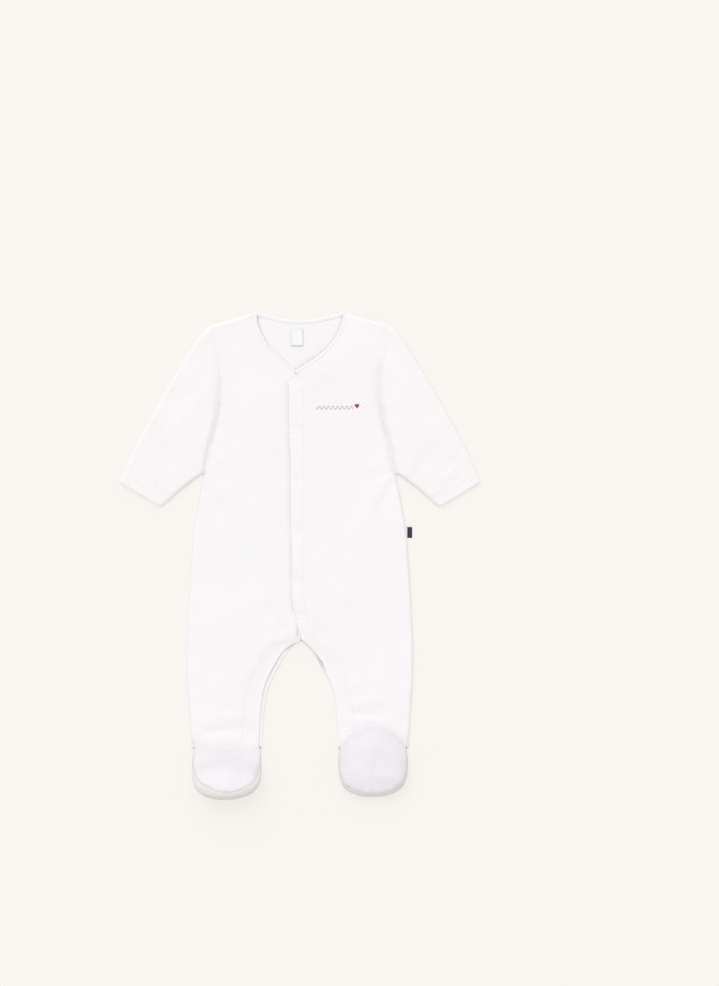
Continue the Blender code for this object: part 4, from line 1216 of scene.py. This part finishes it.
threads = []
for aside in np.linspace(-1, 1, 9) * (HEART_HALF - SATIN):
    share = abs(aside) / HEART_HALF
    top = 1.2 + 1.0 * math.sqrt(max(0.0, 1 - (2 * share - 1) ** 2))
    bottom = -2.4 + 3.4 * share**1.2
    downs = [HEART_DOWN - mix(top, bottom, t) for t in np.linspace(0, 1, 6)]
    spots, facings = lie_on(left, [(HEART_OUT + aside, down) for down in downs])
    arch = [0.45 * (1 - (2 * t - 1) ** 4) * MM for t in np.linspace(0, 1, 6)]
    threads.append(([spot + Vector((0, 0, up)) for spot, up in zip(spots, arch)], facings))
heart_lines = lines_mesh("chest_heart", threads)
pieces["chest_heart"] = thread_tree.run("chest_heart", heart_lines, Radius=SATIN * MM, Material=red_thread)

# %% [markdown]
# ## Floor, light and camera
# The suit lies on a plain pale light table, seen from straight above. Part of the table's
# brightness is its own glow, so shadows beside the cloth stay faint. The light is a bright
# even dome with one very soft sun high at the upper left, so the cloth has faint shades.

# %% Stage
FRAME_HIGH, CENTRE_OUT, CENTRE_DOWN = 1131.4, 68.3, 208.5
LENS, SENSOR, FRONT_AT = 85.0, 36.0, 0.006
DOME_LIGHT, SUN_LIGHT, SUN_WIDE, FLOOR_REACH = 0.775, 1.34, 60, 14.0
FLOOR_SEEN, FLOOR_GLOW, LIGHT = (0.950, 0.925, 0.883), 0.7, 1.13
floor_finish = Shader("floor", Specular_IOR_Level=0.0, Roughness=0.95, Emission_Strength=FLOOR_GLOW)
fleck = floor_finish.noise(floor_finish.where(), 3.0)
lit = tint(*((1 - FLOOR_GLOW) / LIGHT * part for part in FLOOR_SEEN))
floor_finish.set(Base_Color=floor_finish.colour(lit, darker(lit, 0.985), fleck),
                 Emission_Color=tint(*FLOOR_SEEN))
build = bmesh.new()
bmesh.ops.create_circle(build, cap_ends=True, radius=FLOOR_REACH, segments=96)
floor_mesh = mesh_from(build, "floor")
floor_mesh.materials.append(floor_finish.material)
floor = in_scene("floor", floor_mesh)

world = bpy.data.worlds.new("dome")
world.use_nodes = True
dome = world.node_tree.nodes["Background"].inputs
dome["Color"].default_value = (1.0, 0.995, 1.0, 1.0)
dome["Strength"].default_value = DOME_LIGHT
bpy.context.scene.world = world

sun = bpy.data.lights.new("soft_sun", "SUN")
sun.energy, sun.angle = SUN_LIGHT, math.radians(SUN_WIDE)
SUN_FROM = Vector((-0.4, 1.3, 2.0))
in_scene("soft_sun", sun).rotation_euler = SUN_FROM.to_track_quat("Z", "Y").to_euler()

camera = bpy.data.cameras.new("camera")
camera.lens, camera.sensor_width = LENS, SENSOR
camera.clip_end = 100.0
eye = in_scene("camera", camera)
eye.location = (CENTRE_OUT * MM, (TOP - CENTRE_DOWN) * MM, LENS / SENSOR * FRAME_HIGH * MM + FRONT_AT)
bpy.context.scene.camera = eye
bpy.context.scene.view_settings.view_transform = "Standard"
print("camera", round(eye.location.z, 3), "m above the floor")

# %% Attach the pieces and hide the solids they stand for
snap_nodes = [f"snap_front_{n}" for n in range(1, 7)]
snap_nodes += [f"snap_leg_{side_name}_{n}" for side_name, _ in SIDES for n in (1, 2)]
replaced = {"snap_caps": snap_nodes}
node_names = set(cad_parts)
for name, piece in pieces.items():
    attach(piece, "root")
    for node in replaced.get(name, [name] if name in node_names else []):
        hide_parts(node)
